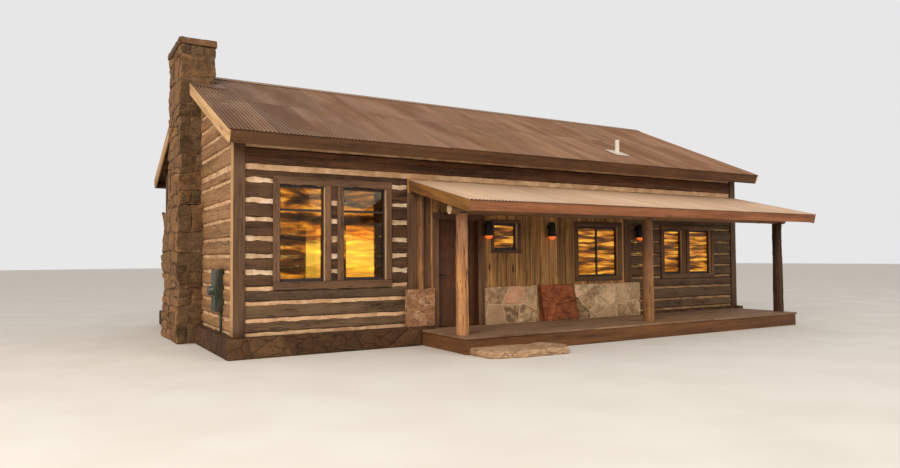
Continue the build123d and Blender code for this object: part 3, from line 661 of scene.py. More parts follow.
@dataclass(frozen=True)
class GlassFinish(Finish):
    """Window glass with a painted evening reflection: glowing patches that differ from wall to wall, a
    painted band of shade, and a painted dusk tint high on the back windows.
    """

    colour: Colour
    dusk: Colour
    # Colours of the painted reflection, from dark to bright.
    glow: tuple[Colour, ...]
    strength: float = 0.5
    roughness: float = 0.03
    # Where the entry wall's windows begin, and how much their painted reflection is lifted.
    entry: float = -2.6
    entry_lift: float = 0.025
    # Where the painted band of shade begins, and how dark it is.
    shade: float = -3.84
    shade_depth: float = 0.3
    # Where the back windows begin, and the height and sway of their painted dusk tint.
    back: float = 6.0
    dusk_level: float = 2.05
    dusk_reach: float = 0.8

    def make(self) -> bpy.types.Material:
        """Builds the material."""
        s = Surface(self.name)
        g = s.graph
        across, depth, height = g.parts(s.place)
        # Painted reflection: cloudy patches, and streaks on the entry wall's windows.
        past = g.band(across, self.entry, self.entry + 0.2)
        clouds = g.noise(s.place, (1.0, 1.0, 4.2), 4, 0.6, 0.5)
        streaks = g.noise(g.stretch(s.place, (0.7, 1.0, 8.0)), 1.4, 4, 0.6, 0.4)
        before = g.times(clouds, g.minus(1.0, past))
        patches = g.plus(before, g.times(g.plus(streaks, self.entry_lift), past))
        # Painted band of shade over the windows between the shade line and the entry wall.
        shade = g.band(across, self.shade, self.shade + 0.03, 0.0, self.shade_depth)
        shade = g.minus(shade, g.times(past, self.shade_depth))
        patches = g.minus(patches, g.math("MAXIMUM", shade, 0.0))
        # The patches glow as a painted reflection.
        s.glow(g.ramp(g.band(patches, 0.36, 0.7), self.glow), self.strength)
        # Painted dusk tint, high on the back windows.
        level = g.plus(height, g.times(g.minus(clouds, 0.5), self.dusk_reach))
        behind = g.band(depth, self.back, self.back + 0.2)
        late = g.times(g.band(level, self.dusk_level, self.dusk_level + 0.12), behind)
        rough = g.band(g.noise(s.place, 9.0, 4, 0.6), 0.4, 0.8, self.roughness, self.roughness + 0.07)
        normal = g.bump(g.noise(s.place, 2.2, 2), 0.006, 0.35)
        plain = {"transmission_weight": 1.0, "ior": 1.25, "specular_ior_level": 0.2}
        return s.finish(g.mix(late, self.colour, self.dusk), rough, normal, **plain)


@dataclass(frozen=True)
class GlowFinish(Finish):
    """Amber glass lit from inside."""

    colour: Colour
    strength: float

    def make(self) -> bpy.types.Material:
        """Builds the material."""
        s = Surface(self.name)
        g = s.graph
        colour = g.shaded(self.colour, g.band(g.noise(s.place, 26.0), 0.2, 0.8, 0.75, 1.1))
        s.glow(colour, self.strength)
        return s.finish(colour, 0.25)


@dataclass(frozen=True)
class MortarFinish(Finish):
    """Sandy mortar."""

    light: Colour
    dark: Colour
    relief: float = 0.008

    def make(self) -> bpy.types.Material:
        """Builds the material."""
        s = Surface(self.name)
        g = s.graph
        weather = s.effect(effects.weather, scale=1.6)
        skin = s.effect(effects.stone)
        colour = g.mix(weather["Mask"], self.light, self.dark)
        colour = s.toned(g.shaded(colour, g.between(skin["Mottle"], 0.86, 1.1)), 0.08)
        height = g.plus(skin["Height"], g.times(weather["Fine"], 0.5))
        return s.finish(colour, 0.92, g.bump(height, self.relief, 0.8), specular_ior_level=0.2)


def logs_finish(name: str, grain: Axis, light: Colour, dark: Colour, patina: Colour) -> WoodFinish:
    """Finish of the hewn logs, with the grain along a wall."""
    return WoodFinish(
        name, "hewn_logs", light, dark, patina, grain, crack=0.85, relief=0.007, tone_reach=0.17,
    )


def grained(finish: WoodFinish, **ways: Axis) -> tuple[WoodFinish, ...]:
    """The same wood with its grain in several directions, which add their word to its name."""
    return tuple(replace(finish, name=f"{finish.name}_{way}", grain=grain) for way, grain in ways.items())


def barge_finish(name: str, slope: float) -> WoodFinish:
    """Finish of the barge boards of one slope, with the grain along it."""
    return WoodFinish(
        name, "yellow_trim", light=srgb(228, 186, 132), dark=srgb(176, 132, 86), patina=srgb(198, 158, 116),
        grain=Axis.Y, patina_share=0.3, crack=0.3, relief=0.002, slope=slope,
    )


FINISHES = (
    logs_finish("logs_front", Axis.X, srgb(94, 64, 40), srgb(52, 33, 20), srgb(98, 70, 46)),
    logs_finish("logs_low", Axis.X, srgb(110, 82, 57), srgb(62, 43, 29), srgb(116, 92, 67)),
    # Darker copy of the log finish for the long top log under the eave: painted shade.
    logs_finish("logs_eave_painted_shade", Axis.X, srgb(110, 70, 42), srgb(44, 26, 14), srgb(104, 70, 44)),
    # Lighter, warmer copy of the log finish for the gables: painted sunlight.
    logs_finish("logs_gable", Axis.Y, srgb(178, 132, 86), srgb(118, 80, 48), srgb(170, 130, 90)),
    logs_finish("logs_post", Axis.Z, srgb(116, 84, 58), srgb(72, 50, 33), srgb(110, 84, 62)),
    # Lighter copy of the post's wood for the corner posts' outer left faces: a painted highlight where the
    # sun falls.
    WoodFinish(
        "post_painted_highlight", "hewn_logs", light=srgb(226, 178, 120), dark=srgb(178, 128, 80),
        patina=srgb(196, 150, 104), grain=Axis.Z, crack=0.4, relief=0.003,
    ),
    MortarFinish("chinking_bright", "chinking", srgb(228, 200, 170), srgb(194, 158, 120)),
    MortarFinish("chinking_tan", "chinking", srgb(178, 140, 100), srgb(138, 100, 68)),
    MortarFinish("chinking_strip", "chinking", srgb(222, 182, 142), srgb(190, 148, 110)),
    # Dark copy of the chinking for the top joint under the eave: painted shade.
    MortarFinish("chinking_shade", "chinking", srgb(88, 62, 42), srgb(62, 42, 28)),
    StoneFinish(
        "footing_rubble", "footing_stone",
        (srgb(96, 66, 40), srgb(76, 50, 30), srgb(106, 76, 48), srgb(88, 54, 34)), srgb(60, 38, 24),
        crack=0.5, relief=0.03,
    ),
    MortarFinish("footing_mortar", "footing_stone", srgb(92, 66, 44), srgb(64, 44, 28)),
    StoneFinish(
        "chimney_rubble", "chimney_stone",
        (srgb(88, 68, 46), srgb(122, 94, 64), srgb(98, 76, 52), srgb(138, 100, 66), srgb(110, 88, 64)),
        srgb(80, 58, 40), stain_share=0.4, crack=0.2, relief=0.06,
    ),
    # Lighter copy of the chimney's stone for faces that look left: painted sunlight.
    StoneFinish(
        "chimney_sunlit", "chimney_stone",
        (srgb(132, 98, 62), srgb(164, 122, 78), srgb(142, 106, 70), srgb(174, 124, 78), srgb(152, 116, 80)),
        srgb(120, 82, 50), stain_share=0.35, crack=0.2, relief=0.06,
    ),
    MortarFinish("chimney_mortar", "chimney_stone", srgb(132, 103, 75), srgb(96, 71, 50), relief=0.03),
    StoneFinish(
        "wainscot_flags", "wainscot_stone",
        (
            srgb(134, 106, 76), srgb(214, 180, 138), srgb(160, 128, 92),
            srgb(230, 198, 156), srgb(212, 148, 112),
        ),
        srgb(152, 110, 76), crack=0.25,
    ),
    StoneFinish(
        "pier_stone", "wainscot_stone",
        (
            srgb(176, 128, 90), srgb(150, 104, 70), srgb(194, 152, 112),
            srgb(160, 104, 74), srgb(186, 146, 108),
        ),
        srgb(122, 78, 52), stain_share=0.45, crack=0.4, relief=0.02,
    ),
    MortarFinish("wainscot_mortar", "wainscot_stone", srgb(226, 192, 154), srgb(196, 158, 122)),
    StoneFinish(
        "red_slab", "red_sandstone", (srgb(166, 94, 52), srgb(146, 78, 45), srgb(176, 104, 62)),
        srgb(96, 52, 32), stain_share=0.5, crack=0.5, relief=0.03,
    ),
    StoneFinish(
        "step_slab", "step_stone", (srgb(194, 156, 120), srgb(176, 136, 102), srgb(204, 168, 132)),
        srgb(150, 100, 72), stain_share=0.5, crack=0.4, relief=0.03,
    ),
    WoodFinish(
        "floor_planks", "floor_boards", light=srgb(150, 112, 76), dark=srgb(112, 80, 52),
        patina=srgb(130, 100, 72), grain=Axis.X, plank_width=0.13,
    ),
    *grained(
        WoodFinish("sawn", "roof_boards", srgb(120, 86, 58), srgb(74, 50, 33), srgb(100, 76, 54)),
        across=Axis.Y, along=Axis.X,
    ),
    WoodFinish(
        "sheathing", "roof_boards", light=srgb(112, 80, 54), dark=srgb(72, 48, 32),
        patina=srgb(92, 70, 50), grain=Axis.X, plank_width=0.18,
    ),
    # Both sheets carry painted shade in their valleys; the rusty one also towards its left end.
    SheetFinish(
        "roof_rusty", "rusty_sheet", base=srgb(140, 100, 70), pale=srgb(184, 138, 100),
        rust=srgb(120, 78, 50), rust_share=0.5, pitch=MAIN_CORRUGATION, valley=0.4, shaded_left=0.7,
    ),
    SheetFinish(
        "roof_pale", "pale_sheet", base=srgb(206, 172, 142), pale=srgb(226, 196, 166),
        rust=srgb(176, 134, 104), rust_share=0.35, pitch=PORCH_CORRUGATION, valley=0.62, roughness=0.5,
    ),
    WoodFinish(
        "fascia_dark", "dark_trim", light=srgb(98, 64, 36), dark=srgb(66, 41, 22),
        patina=srgb(86, 58, 36), grain=Axis.X, crack=0.4, relief=0.002,
    ),
    WoodFinish(
        "fascia_cedar", "cedar_trim", light=srgb(176, 112, 72), dark=srgb(132, 78, 48),
        patina=srgb(140, 98, 70), grain=Axis.X, patina_share=0.35, crack=0.4, relief=0.002,
    ),
    barge_finish("barge_front", ROOF_SLOPE),
    barge_finish("barge_back", -ROOF_SLOPE),
    WoodFinish(
        "rake_golden", "cedar_trim", light=srgb(152, 103, 48), dark=srgb(96, 62, 29),
        patina=srgb(114, 82, 46), grain=Axis.Y, patina_share=0.4, crack=0.4, relief=0.002,
        slope=PORCH_SLOPE,
    ),
    WoodFinish(
        "peeled_upright", "peeled_pole", light=srgb(216, 156, 94), dark=srgb(150, 96, 56),
        patina=srgb(152, 106, 80), grain=Axis.Z, patina_share=0.7, crack=0.95, knot=0.9, fineness=1.25,
        tone_reach=0.5, relief=0.016, grey_over=1.45,
    ),
    WoodFinish(
        "sawn_end", "peeled_pole", light=srgb(226, 196, 160), dark=srgb(190, 152, 112),
        patina=srgb(206, 174, 138), grain=Axis.Y, crack=0.5,
    ),
    WoodFinish(
        "peeled_lying", "peeled_pole", light=srgb(150, 108, 70), dark=srgb(104, 70, 44),
        patina=srgb(128, 98, 72), grain=Axis.X, patina_share=0.45, crack=0.8,
    ),
    WoodFinish(
        "deck_planks", "deck_boards", light=srgb(160, 122, 90), dark=srgb(108, 78, 54),
        patina=srgb(144, 116, 90), grain=Axis.X, relief=0.003,
    ),
    *grained(
        WoodFinish(
            "rim", "deck_rim", srgb(132, 85, 46), srgb(86, 53, 27), srgb(112, 74, 42),
            crack=0.4, relief=0.002,
        ),
        front=Axis.X, side=Axis.Y,
    ),
    WoodFinish(
        "wall_planks", "wall_boards", light=srgb(206, 150, 86), dark=srgb(106, 70, 38),
        patina=srgb(166, 124, 76), grain=Axis.Z, tone_reach=0.3, knot=0.9, relief=0.008,
    ),
    # Near-black wood behind the boards, seen in their gaps as painted shade.
    WoodFinish(
        "wall_backing_painted_shade", "wall_boards", light=srgb(36, 25, 16), dark=srgb(22, 15, 10),
        patina=srgb(30, 21, 14), grain=Axis.Z,
    ),
    *grained(
        WoodFinish(
            "casing", "casing_boards", srgb(126, 90, 62), srgb(80, 54, 36), srgb(112, 84, 60), relief=0.003,
        ),
        upright=Axis.Z, lying=Axis.X, across=Axis.Y,
    ),
    PaintFinish("frame_bronze", "window_frame", srgb(36, 25, 16), srgb(58, 42, 28), 0.6),
    WoodFinish(
        "reveal_pine", "casing_boards", light=srgb(214, 182, 140), dark=srgb(176, 140, 102),
        patina=srgb(196, 162, 124), grain=Axis.Z, crack=0.2, relief=0.002,
    ),
    # Window glass with a painted reflection, a painted band of shade and a painted dusk tint.
    GlassFinish(
        "window_panes", "window_glass", srgb(252, 224, 132), srgb(146, 92, 52),
        (srgb(30, 17, 6), srgb(98, 56, 18), srgb(196, 118, 30), srgb(255, 196, 76)),
    ),
    WoodFinish(
        "door_stained", "door_wood", light=srgb(94, 52, 20), dark=srgb(56, 30, 11),
        patina=srgb(76, 46, 20), grain=Axis.Z, crack=0.3, knot=0.2, relief=0.002, roughness=0.6,
    ),
    PaintFinish("iron_black", "black_iron", srgb(26, 22, 20), srgb(62, 52, 44), 0.5, 0.4),
    GlowFinish("lamp_amber", "lamp_glass", srgb(236, 104, 36), 0.9),
    PaintFinish("vent_paint", "vent_metal", srgb(226, 214, 198), srgb(190, 168, 146), 0.5),
    PaintFinish("ridge_metal", "rusty_sheet", srgb(158, 122, 92), srgb(128, 92, 66), 0.6),
    PaintFinish("meter_enamel", "meter_green", srgb(44, 50, 40), srgb(84, 80, 62), 0.45),
    PaintFinish("meter_grey", "meter_green", srgb(176, 160, 140), srgb(140, 120, 98), 0.4),
    PaintFinish("flashing_metal", "rusty_sheet", srgb(92, 68, 50), srgb(112, 82, 58), 0.55),
)

materials: dict[str, bpy.types.Material] = {}


def make_finishes() -> None:
    """Builds every material."""
    for finish in FINISHES:
        materials[finish.name] = finish.make()
        finish.slot


# Meshes

@dataclass
class Draft:
    """Points, faces, tones and finishes of one piece, gathered before its mesh is made."""

    points: list[Vector] = field(default_factory=list)
    faces: list[Face] = field(default_factory=list)
    tones: list[float] = field(default_factory=list)
    finishes: list[int] = field(default_factory=list)

    def add(
        self, points: Iterable[Vector], faces: Iterable[Face], tone: float = 0.0, finish: int = 0
    ) -> None:
        """Adds a closed shape with one tone.

        Args:
            points: The shape's points.
            faces: Its faces, by the numbers of its own points.
            tone: From -1, darkest, to 1, lightest.
            finish: Which of the piece's finishes it takes.
        """
        start = len(self.points)
        self.points.extend(points)
        for face in faces:
            self.faces.append(tuple(start + number for number in face))
            self.tones.append(tone)
            self.finishes.append(finish)

    def move(self, first: int, change: Callable[[Vector], Vector]) -> None:
        """Changes the place of every point from a number on."""
        self.points[first:] = [change(point) for point in self.points[first:]]

    def build(self, name: str, *finish_names: str) -> bpy.types.Object:
        """Makes the piece.

        Args:
            name: The piece's name.
            finish_names: The finishes that its faces' numbers stand for.

        Returns:
            The piece.
        """
        mesh = bpy.data.meshes.new(name)
        mesh.from_pydata([tuple(point) for point in self.points], [], self.faces)
        tone = mesh.attributes.new(TONE, "FLOAT", "FACE")
        tone.data.foreach_set("value", self.tones)
        mesh.polygons.foreach_set("material_index", self.finishes)
        return finish_piece(mesh, name, finish_names)


def finish_piece(mesh: bpy.types.Mesh, name: str, finish_names: Sequence[str]) -> bpy.types.Object:
    """Turns a mesh into a piece: inside the CAD box, with normals outwards, finishes and body."""
    work = bmesh.new()
    work.from_mesh(mesh)
    bmesh.ops.recalc_face_normals(work, faces=work.faces[:])
    for point in work.verts:
        point.co = [min(max(value, low), high) for value, low, high in zip(point.co, *cad_bounds)]
    work.to_mesh(mesh)
    work.free()
    mesh.shade_smooth()
    mesh.set_sharp_from_angle(angle=SMOOTH_ANGLE)
    for finish_name in finish_names:
        mesh.materials.append(materials[finish_name])
    piece = bpy.data.objects.new(name, mesh)
    bpy.context.scene.collection.objects.link(piece)
    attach(piece, CABIN)
    log.info("%s: %d faces", name, len(mesh.polygons))
    return piece


def spot_on(axis: Axis, along: float, first: float, second: float) -> Vector:
    """Point by its place along an axis and along the other two in their order."""
    values = [first, second]
    values.insert(axis.value, along)
    return Vector(values)


def others(axis: Axis) -> tuple[int, int]:
    """Numbers of the two other axes."""
    first, second = [a.value for a in Axis if a != axis]
    return first, second


def steps(places: Sequence[float]) -> list[Point2]:
    """Start and end of each step between places in a row."""
    return list(zip(places[:-1], places[1:]))


def middle_of(low: Vector, high: Vector, z: float) -> Vector:
    """Middle of a box seen from above, at a height."""
    return Vector(((low.x + high.x) / 2, (low.y + high.y) / 2, z))


def sway(point: Vector, scale: float, amount: float, seed: float) -> Vector:
    """Point moved by smooth noise that depends on its place."""
    shift = Vector((seed, seed * 0.37, -seed * 0.71))
    return point + noise.noise_vector(point * scale + shift) * amount


def cross_ring(low: Point2, high: Point2, chamfer: float, side_points: int) -> list[Point2]:
    """Outline of a rectangle with cut corners and extra points on its sides."""
    (a0, b0), (a1, b1) = low, high
    corners = [
        ((a0 + chamfer, b0), (a1 - chamfer, b0)),
        ((a1, b0 + chamfer), (a1, b1 - chamfer)),
        ((a1 - chamfer, b1), (a0 + chamfer, b1)),
        ((a0, b1 - chamfer), (a0, b0 + chamfer)),
    ]
    ring: list[Point2] = []
    for (sa, sb), (ea, eb) in corners:
        for number in range(side_points + 2):
            share = number / (side_points + 1)
            ring.append((sa + (ea - sa) * share, sb + (eb - sb) * share))
    return ring


def band_faces(rings: int, count: int) -> list[Face]:
    """Faces between rings of points."""
    faces: list[Face] = []
    for ring in range(rings - 1):
        for number in range(count):
            follow = (number + 1) % count
            a, b = ring * count, (ring + 1) * count
            faces.append((a + number, a + follow, b + follow, b + number))
    return faces


def tube_faces(rings: int, count: int) -> list[Face]:
    """Faces between rings of points, with a face over each end."""
    ends = [tuple(reversed(range(count))), tuple(range((rings - 1) * count, rings * count))]
    return band_faces(rings, count) + ends


@dataclass(frozen=True)
class Sawing:
    """How a board or beam is cut, how it wanders, and how closely its rings and points lie."""

    chamfer: float = 0.003
    step: float = 0.4
    wave: float = 0.0015
    side_points: int = 0
    wave_scale: float = 2.1
    tone_seed: int = 31


MORTAR_BED = Sawing(chamfer=0.004, step=0.15, wave=0.003, side_points=1)


def add_bar(
    draft: Draft, low: Vector, high: Vector, axis: Axis, how: Sawing, tone: float = 0.0, finish: int = 0
) -> None:
    """Adds a board or beam that is slightly uneven along its length.

    Args:
        draft: Where it goes.
        low: Its lowest corner.
        high: Its highest corner.
        axis: The direction of its length.
        how: Its cut and its unevenness.
        tone: Its tone.
        finish: Which finish it takes.
    """
    first, second = others(axis)
    ring = cross_ring((low[first], low[second]), (high[first], high[second]), how.chamfer, how.side_points)
    length = high[axis.value] - low[axis.value]
    count = max(1, round(length / how.step))
    points = []
    for number in range(count + 1):
        place = low[axis.value] + length * number / count
        for a, b in ring:
            moved = sway(spot_on(axis, place, a, b), how.wave_scale, how.wave, tone * how.tone_seed)
            moved[axis.value] = place
            points.append(moved)
    draft.add(points, tube_faces(count + 1, len(ring)), tone, finish)


@dataclass(frozen=True)
class StoneCut:
    """Radius of a stone's edges, how far its skin wanders, and the size of its faces."""

    rounding: float
    rough: float
    cell: float
    most: int = 12
    tone_seed: int = 57
    scales: Scale3 = (4.5, 11.0, 24.0)
    shares: Point2 = (0.6, 0.3)


def add_stone(draft: Draft, low: Vector, high: Vector, cut: StoneCut, tone: float) -> None:
    """Adds a stone that fills a box: rounded, uneven and closed.

    Args:
        draft: Where it goes.
        low: The box's lowest corner.
        high: Its highest corner.
        cut: How it is rounded and roughened.
        tone: Its tone.
    """
    size = high - low
    middle = (low + high) / 2
    counts = [max(2, min(cut.most, round(size[i] / cut.cell))) for i in range(3)]
    inner = Vector([max(0.0, size[i] / 2 - cut.rounding) for i in range(3)])
    broad, medium, fine = cut.scales
    numbers: dict[Face, int] = {}
    points: list[Vector] = []

    def number_of(key: Face) -> int:
        """Number of the point at a place of the stone's grid, made on its first use."""
        if key not in numbers:
            raw = Vector([size[i] * (key[i] / counts[i] - 0.5) for i in range(3)])
            core = Vector([max(-inner[i], min(inner[i], raw[i])) for i in range(3)])
            out = raw - core
            if out.length > 1e-9:
                raw = core + out.normalized() * min(cut.rounding, out.length)
            place = middle + raw
            bumps = noise.noise_vector(place * broad + Vector((tone * cut.tone_seed, 0, 0)))
            finer = noise.noise_vector(place * medium) * cut.shares[0]
            bumps += finer + noise.noise_vector(place * fine) * cut.shares[1]
            numbers[key] = len(points)
            points.append(place + bumps * cut.rough)
        return numbers[key]

    faces = []
    for axis in range(3):
        u, v = [i for i in range(3) if i != axis]
        for end in (0, counts[axis]):
            for i in range(counts[u]):
                for j in range(counts[v]):
                    corners = []
                    for du, dv in ((0, 0), (1, 0), (1, 1), (0, 1)):
                        key = [0, 0, 0]
                        key[axis], key[u], key[v] = end, i + du, j + dv
                        corners.append(number_of(tuple(key)))
                    faces.append(tuple(corners))
    draft.add(points, faces, tone)


def clip(outline: list[Point2], point: Point2, normal: Point2) -> list[Point2]:
    """What is left of a convex outline on the side of a line that its normal leaves."""
    kept: list[Point2] = []
    side = [(u - point[0]) * normal[0] + (v - point[1]) * normal[1] for u, v in outline]
    for number, (here, depth) in enumerate(zip(outline, side)):
        there, other = outline[number - 1], side[number - 1]
        if (depth > 0) != (other > 0):
            share = other / (other - depth)
            kept.append((there[0] + (here[0] - there[0]) * share, there[1] + (here[1] - there[1]) * share))
        if depth <= 0:
            kept.append(here)
    return kept


def inset(outline: list[Point2], depth: float) -> list[Point2]:
    """A convex outline with each side moved inwards."""
    shape = outline
    for number, (u, v) in enumerate(outline):
        pu, pv = outline[number - 1]
        du, dv = u - pu, v - pv
        length = math.hypot(du, dv)
        if length > 1e-6 and len(shape) >= 3:
            normal = (dv / length, -du / length)
            shape = clip(shape, (u - normal[0] * depth, v - normal[1] * depth), normal)
    return shape


@dataclass(frozen=True)
class Flagging:
    """Size of flat irregular stones, their width to their height, their joints and their relief."""

    size: float
    flatness: float
    gap: float
    relief: float
    finish: int = 0
    part: float = 0.05
    lean: float = 0.02
    wander: float = 0.05
    lift: float = 0.003
    bed: float = 0.006
    over: float = 1.1
    across: Point2 = (0.05, 0.95)
    up: Point2 = (0.1, 0.9)
    reach: int = 4
    edge_scales: tuple[int, int] = (19, 9)
    crown_scales: tuple[int, int] = (11, 5)
    crown: tuple[Point2, ...] = ((0.985, 0.55), (0.9, 0.92), (0.55, 1.0))

    def mosaic(self, outline: list[Point2], rng: random.Random) -> list[list[Point2]]:
        """Divides a convex outline into irregular stones with joints between them.

        Args:
            outline: Corners of the area, anticlockwise.
            rng: Source of chance.

        Returns:
            The outline of each stone.
        """
        wide = [(u, v * self.flatness) for u, v in outline]
        u0, u1 = min(u for u, _ in wide), max(u for u, _ in wide)
        v0, v1 = min(v for _, v in wide), max(v for _, v in wide)
        columns, rows = max(1, round((u1 - u0) / self.size)), max(1, round((v1 - v0) / self.size))
        seeds = []
        for i in range(columns):
            for j in range(rows):
                u = u0 + (i + rng.uniform(*self.across)) * (u1 - u0) / columns
                seeds.append((u, v0 + (j + rng.uniform(*self.up)) * (v1 - v0) / rows))
        stones = []
        for seed in seeds:
            shape = wide
            for other in seeds:
                away = (other[0] - seed[0], other[1] - seed[1])
                near = other != seed and abs(away[0]) + abs(away[1]) < self.reach * self.size
                if near and len(shape) >= 3:
                    shape = clip(shape, ((seed[0] + other[0]) / 2, (seed[1] + other[1]) / 2), away)
            shape = inset([(u, v / self.flatness) for u, v in shape], self.gap / 2)
            if len(shape) >= 3:
                stones.append(shape)
        return stones

    def add_slab(
        self, draft: Draft, outline: list[Point2], place: Placer, rng: random.Random, tone: float
    ) -> None:
        """Adds a flat stone with a broken edge and a low crown.

        Args:
            draft: Where it goes.
            outline: Its outline in the face's plane.
            place: Turns (u, v, height) into a point.
            rng: Source of chance.
            tone: Its tone.
        """
        edge: list[Point2] = []
        for number, (u, v) in enumerate(outline):
            pu, pv = outline[number - 1]
            parts = max(1, round(math.hypot(u - pu, v - pv) / self.part))
            edge += [(pu + (u - pu) * i / parts, pv + (v - pv) * i / parts) for i in range(parts)]
        count = len(edge)
        cu, cv = sum(u for u, _ in edge) / count, sum(v for _, v in edge) / count
        lean_u, lean_v = rng.uniform(-self.lean, self.lean), rng.uniform(-self.lean, self.lean)
        edge_scale, edge_seed = self.edge_scales
        crown_scale, crown_seed = self.crown_scales
        points: list[Vector] = []
        rises = [(share, self.relief * rise) for share, rise in self.crown]
        for share, height in ((1.0, -self.bed), *rises):
            for u, v in edge:
                spot = Vector((u * edge_scale, v * edge_scale, tone * edge_seed))
                wander = min(1.0, 1 + self.wander * noise.noise(spot))
                pu, pv = cu + (u - cu) * share * wander, cv + (v - cv) * share * wander
                lift = height
                if height > 0:
                    lift += (pu - cu) * lean_u + (pv - cv) * lean_v
                    spot = Vector((pu * crown_scale, pv * crown_scale, tone * crown_seed))
                    lift += self.lift * noise.noise(spot)
                points.append(place(pu, pv, min(lift, self.relief * self.over)))
        points.append(place(cu, cv, self.relief))
        rings = len(self.crown)
        top = rings * count
        faces = [tuple(reversed(range(count))), *band_faces(rings + 1, count)]
        faces += [(top + number, top + (number + 1) % count, top + count) for number in range(count)]
        draft.add(points, faces, tone, self.finish)

    def face(
        self, draft: Draft, low: Vector, high: Vector, side: Side, rng: random.Random, lean: float = 0.0
    ) -> None:
        """Adds the stones of one face of a box.

        Args:
            draft: Where they go.
            low: The box's lowest corner.
            high: Its highest corner.
            side: The face.
            rng: Source of chance.
            lean: How far the face's start leans in at the foot.
        """
        number, sign = side.value
        axis = Axis(number)
        u_axis, v_axis = others(axis)
        plane = high[number] if sign > 0 else low[number]
        u0, u1, v0, v1 = low[u_axis], high[u_axis], low[v_axis], high[v_axis]

        def place(u: float, v: float, out: float) -> Vector:
            """Point of the face at (u, v), so far out of its bed."""
            return spot_on(axis, plane + sign * (out - self.relief), u, v)

        for stone in self.mosaic([(u0 + lean, v0), (u1, v0), (u1, v1), (u0, v1)], rng):
            self.add_slab(draft, stone, place, rng, rng.uniform(-1, 1))

    def block(
        self, draft: Draft, low: Vector, high: Vector, sides: Sequence[Side], rng: random.Random
    ) -> None:
        """Adds a mortar core and the stones of some of its faces."""
        core_low, core_high = low.copy(), high.copy()
        for side in sides:
            axis, sign = side.value
            if sign > 0:
                core_high[axis] -= self.relief
            else:
                core_low[axis] += self.relief
            self.face(draft, low, high, side, rng)
        add_bar(draft, core_low, core_high, Axis.X, MORTAR_BED, finish=MORTAR)


def add_turned(
    draft: Draft, profile: Sequence[Point2], middle: Vector, axis: Axis = Axis.Z, sides: int = 24
) -> None:
    """Adds a turned shape.

    Args:
        draft: Where it goes.
        profile: (radius, height) points from one end to the other.
        middle: Where the axis starts.
        axis: The direction of the axis.
        sides: Sides of each ring.
    """
    points = []
    for radius, height in profile:
        for number in range(sides):
            angle = 2 * math.pi * number / sides
            points.append(middle + spot_on(axis, height, radius * math.cos(angle), radius * math.sin(angle)))
    draft.add(points, tube_faces(len(profile), sides))


def add_pipe(draft: Draft, path: Sequence[Vector], radius: float, sides: int = 14) -> None:
    """Adds a round pipe along a path."""
    points = []
    for number, here in enumerate(path):
        before, after = path[max(0, number - 1)], path[min(len(path) - 1, number + 1)]
        turn = (after - before).to_track_quat("Z", "Y").to_matrix()
        for part in range(sides):
            angle = 2 * math.pi * part / sides
            points.append(here + turn @ Vector((radius * math.cos(angle), radius * math.sin(angle), 0)))
    draft.add(points, tube_faces(len(path), sides))


def merged(node: str) -> bmesh.types.BMesh:
    """A CAD node's mesh with its split points joined and its flat faces whole."""
    work = bmesh.new()
    work.from_mesh(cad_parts[node].data)
    bmesh.ops.remove_doubles(work, verts=work.verts[:], dist=MERGE_DISTANCE)
    bmesh.ops.dissolve_limit(
        work, angle_limit=FLAT_ANGLE, verts=work.verts[:], edges=work.edges[:], use_dissolve_boundaries=False
    )
    return work


def corners_of(node: str) -> list[Vector]:
    """Every corner of a CAD node's mesh."""
    return [vertex.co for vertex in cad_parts[node].data.vertices]


def island_numbers(work: bmesh.types.BMesh) -> list[int]:
    """The number of the separate solid that each vertex belongs to."""
    work.verts.ensure_lookup_table()
    work.verts.index_update()
    found = [-1] * len(work.verts)
    count = 0
    for vertex in work.verts:
        if found[vertex.index] >= 0:
            continue
        found[vertex.index] = count
        waiting = [vertex]
        while waiting:
            here = waiting.pop()
            for edge in here.link_edges:
                there = edge.other_vert(here)
                if found[there.index] < 0:
                    found[there.index] = count
                    waiting.append(there)
        count += 1
    return found


def grouped(work: bmesh.types.BMesh, numbers: Sequence[int]) -> dict[int, list[Vector]]:
    """Points of each separate solid, by its number."""
    points: dict[int, list[Vector]] = {}
    for vertex in work.verts:
        points.setdefault(numbers[vertex.index], []).append(vertex.co.copy())
    return points


def box_of(points: Sequence[Vector]) -> Box:
    """Lowest and highest corner of some points."""
    low = Vector([min(point[i] for point in points) for i in range(3)])
    return low, Vector([max(point[i] for point in points) for i in range(3)])


def islands(node: str) -> list[Box]:
    """Lowest and highest corner of each separate solid of a CAD node, from left to right."""
    work = merged(node)
    boxes = [box_of(points) for points in grouped(work, island_numbers(work)).values()]
    work.free()
    return sorted(boxes, key=lambda box: (round(box[0].x, 3), round(box[0].y, 3), round(box[0].z, 3)))


@dataclass(frozen=True)
class Weathering:
    """How a copy of a CAD node is made uneven: cuts, arrises and wander."""

    step: float = 0.3
    chamfer: float = 0.003
    wander: float = 0.002
    scale: float = 2.0
    cross_step: float = 0.0
    drop: float = 0.0


def by_length(low: Vector, high: Vector) -> int:
    """Number of a solid's longest side: 0 along X, 1 along Y, 2 along Z."""
    size = high - low
    return max(range(3), key=lambda side: size[side])


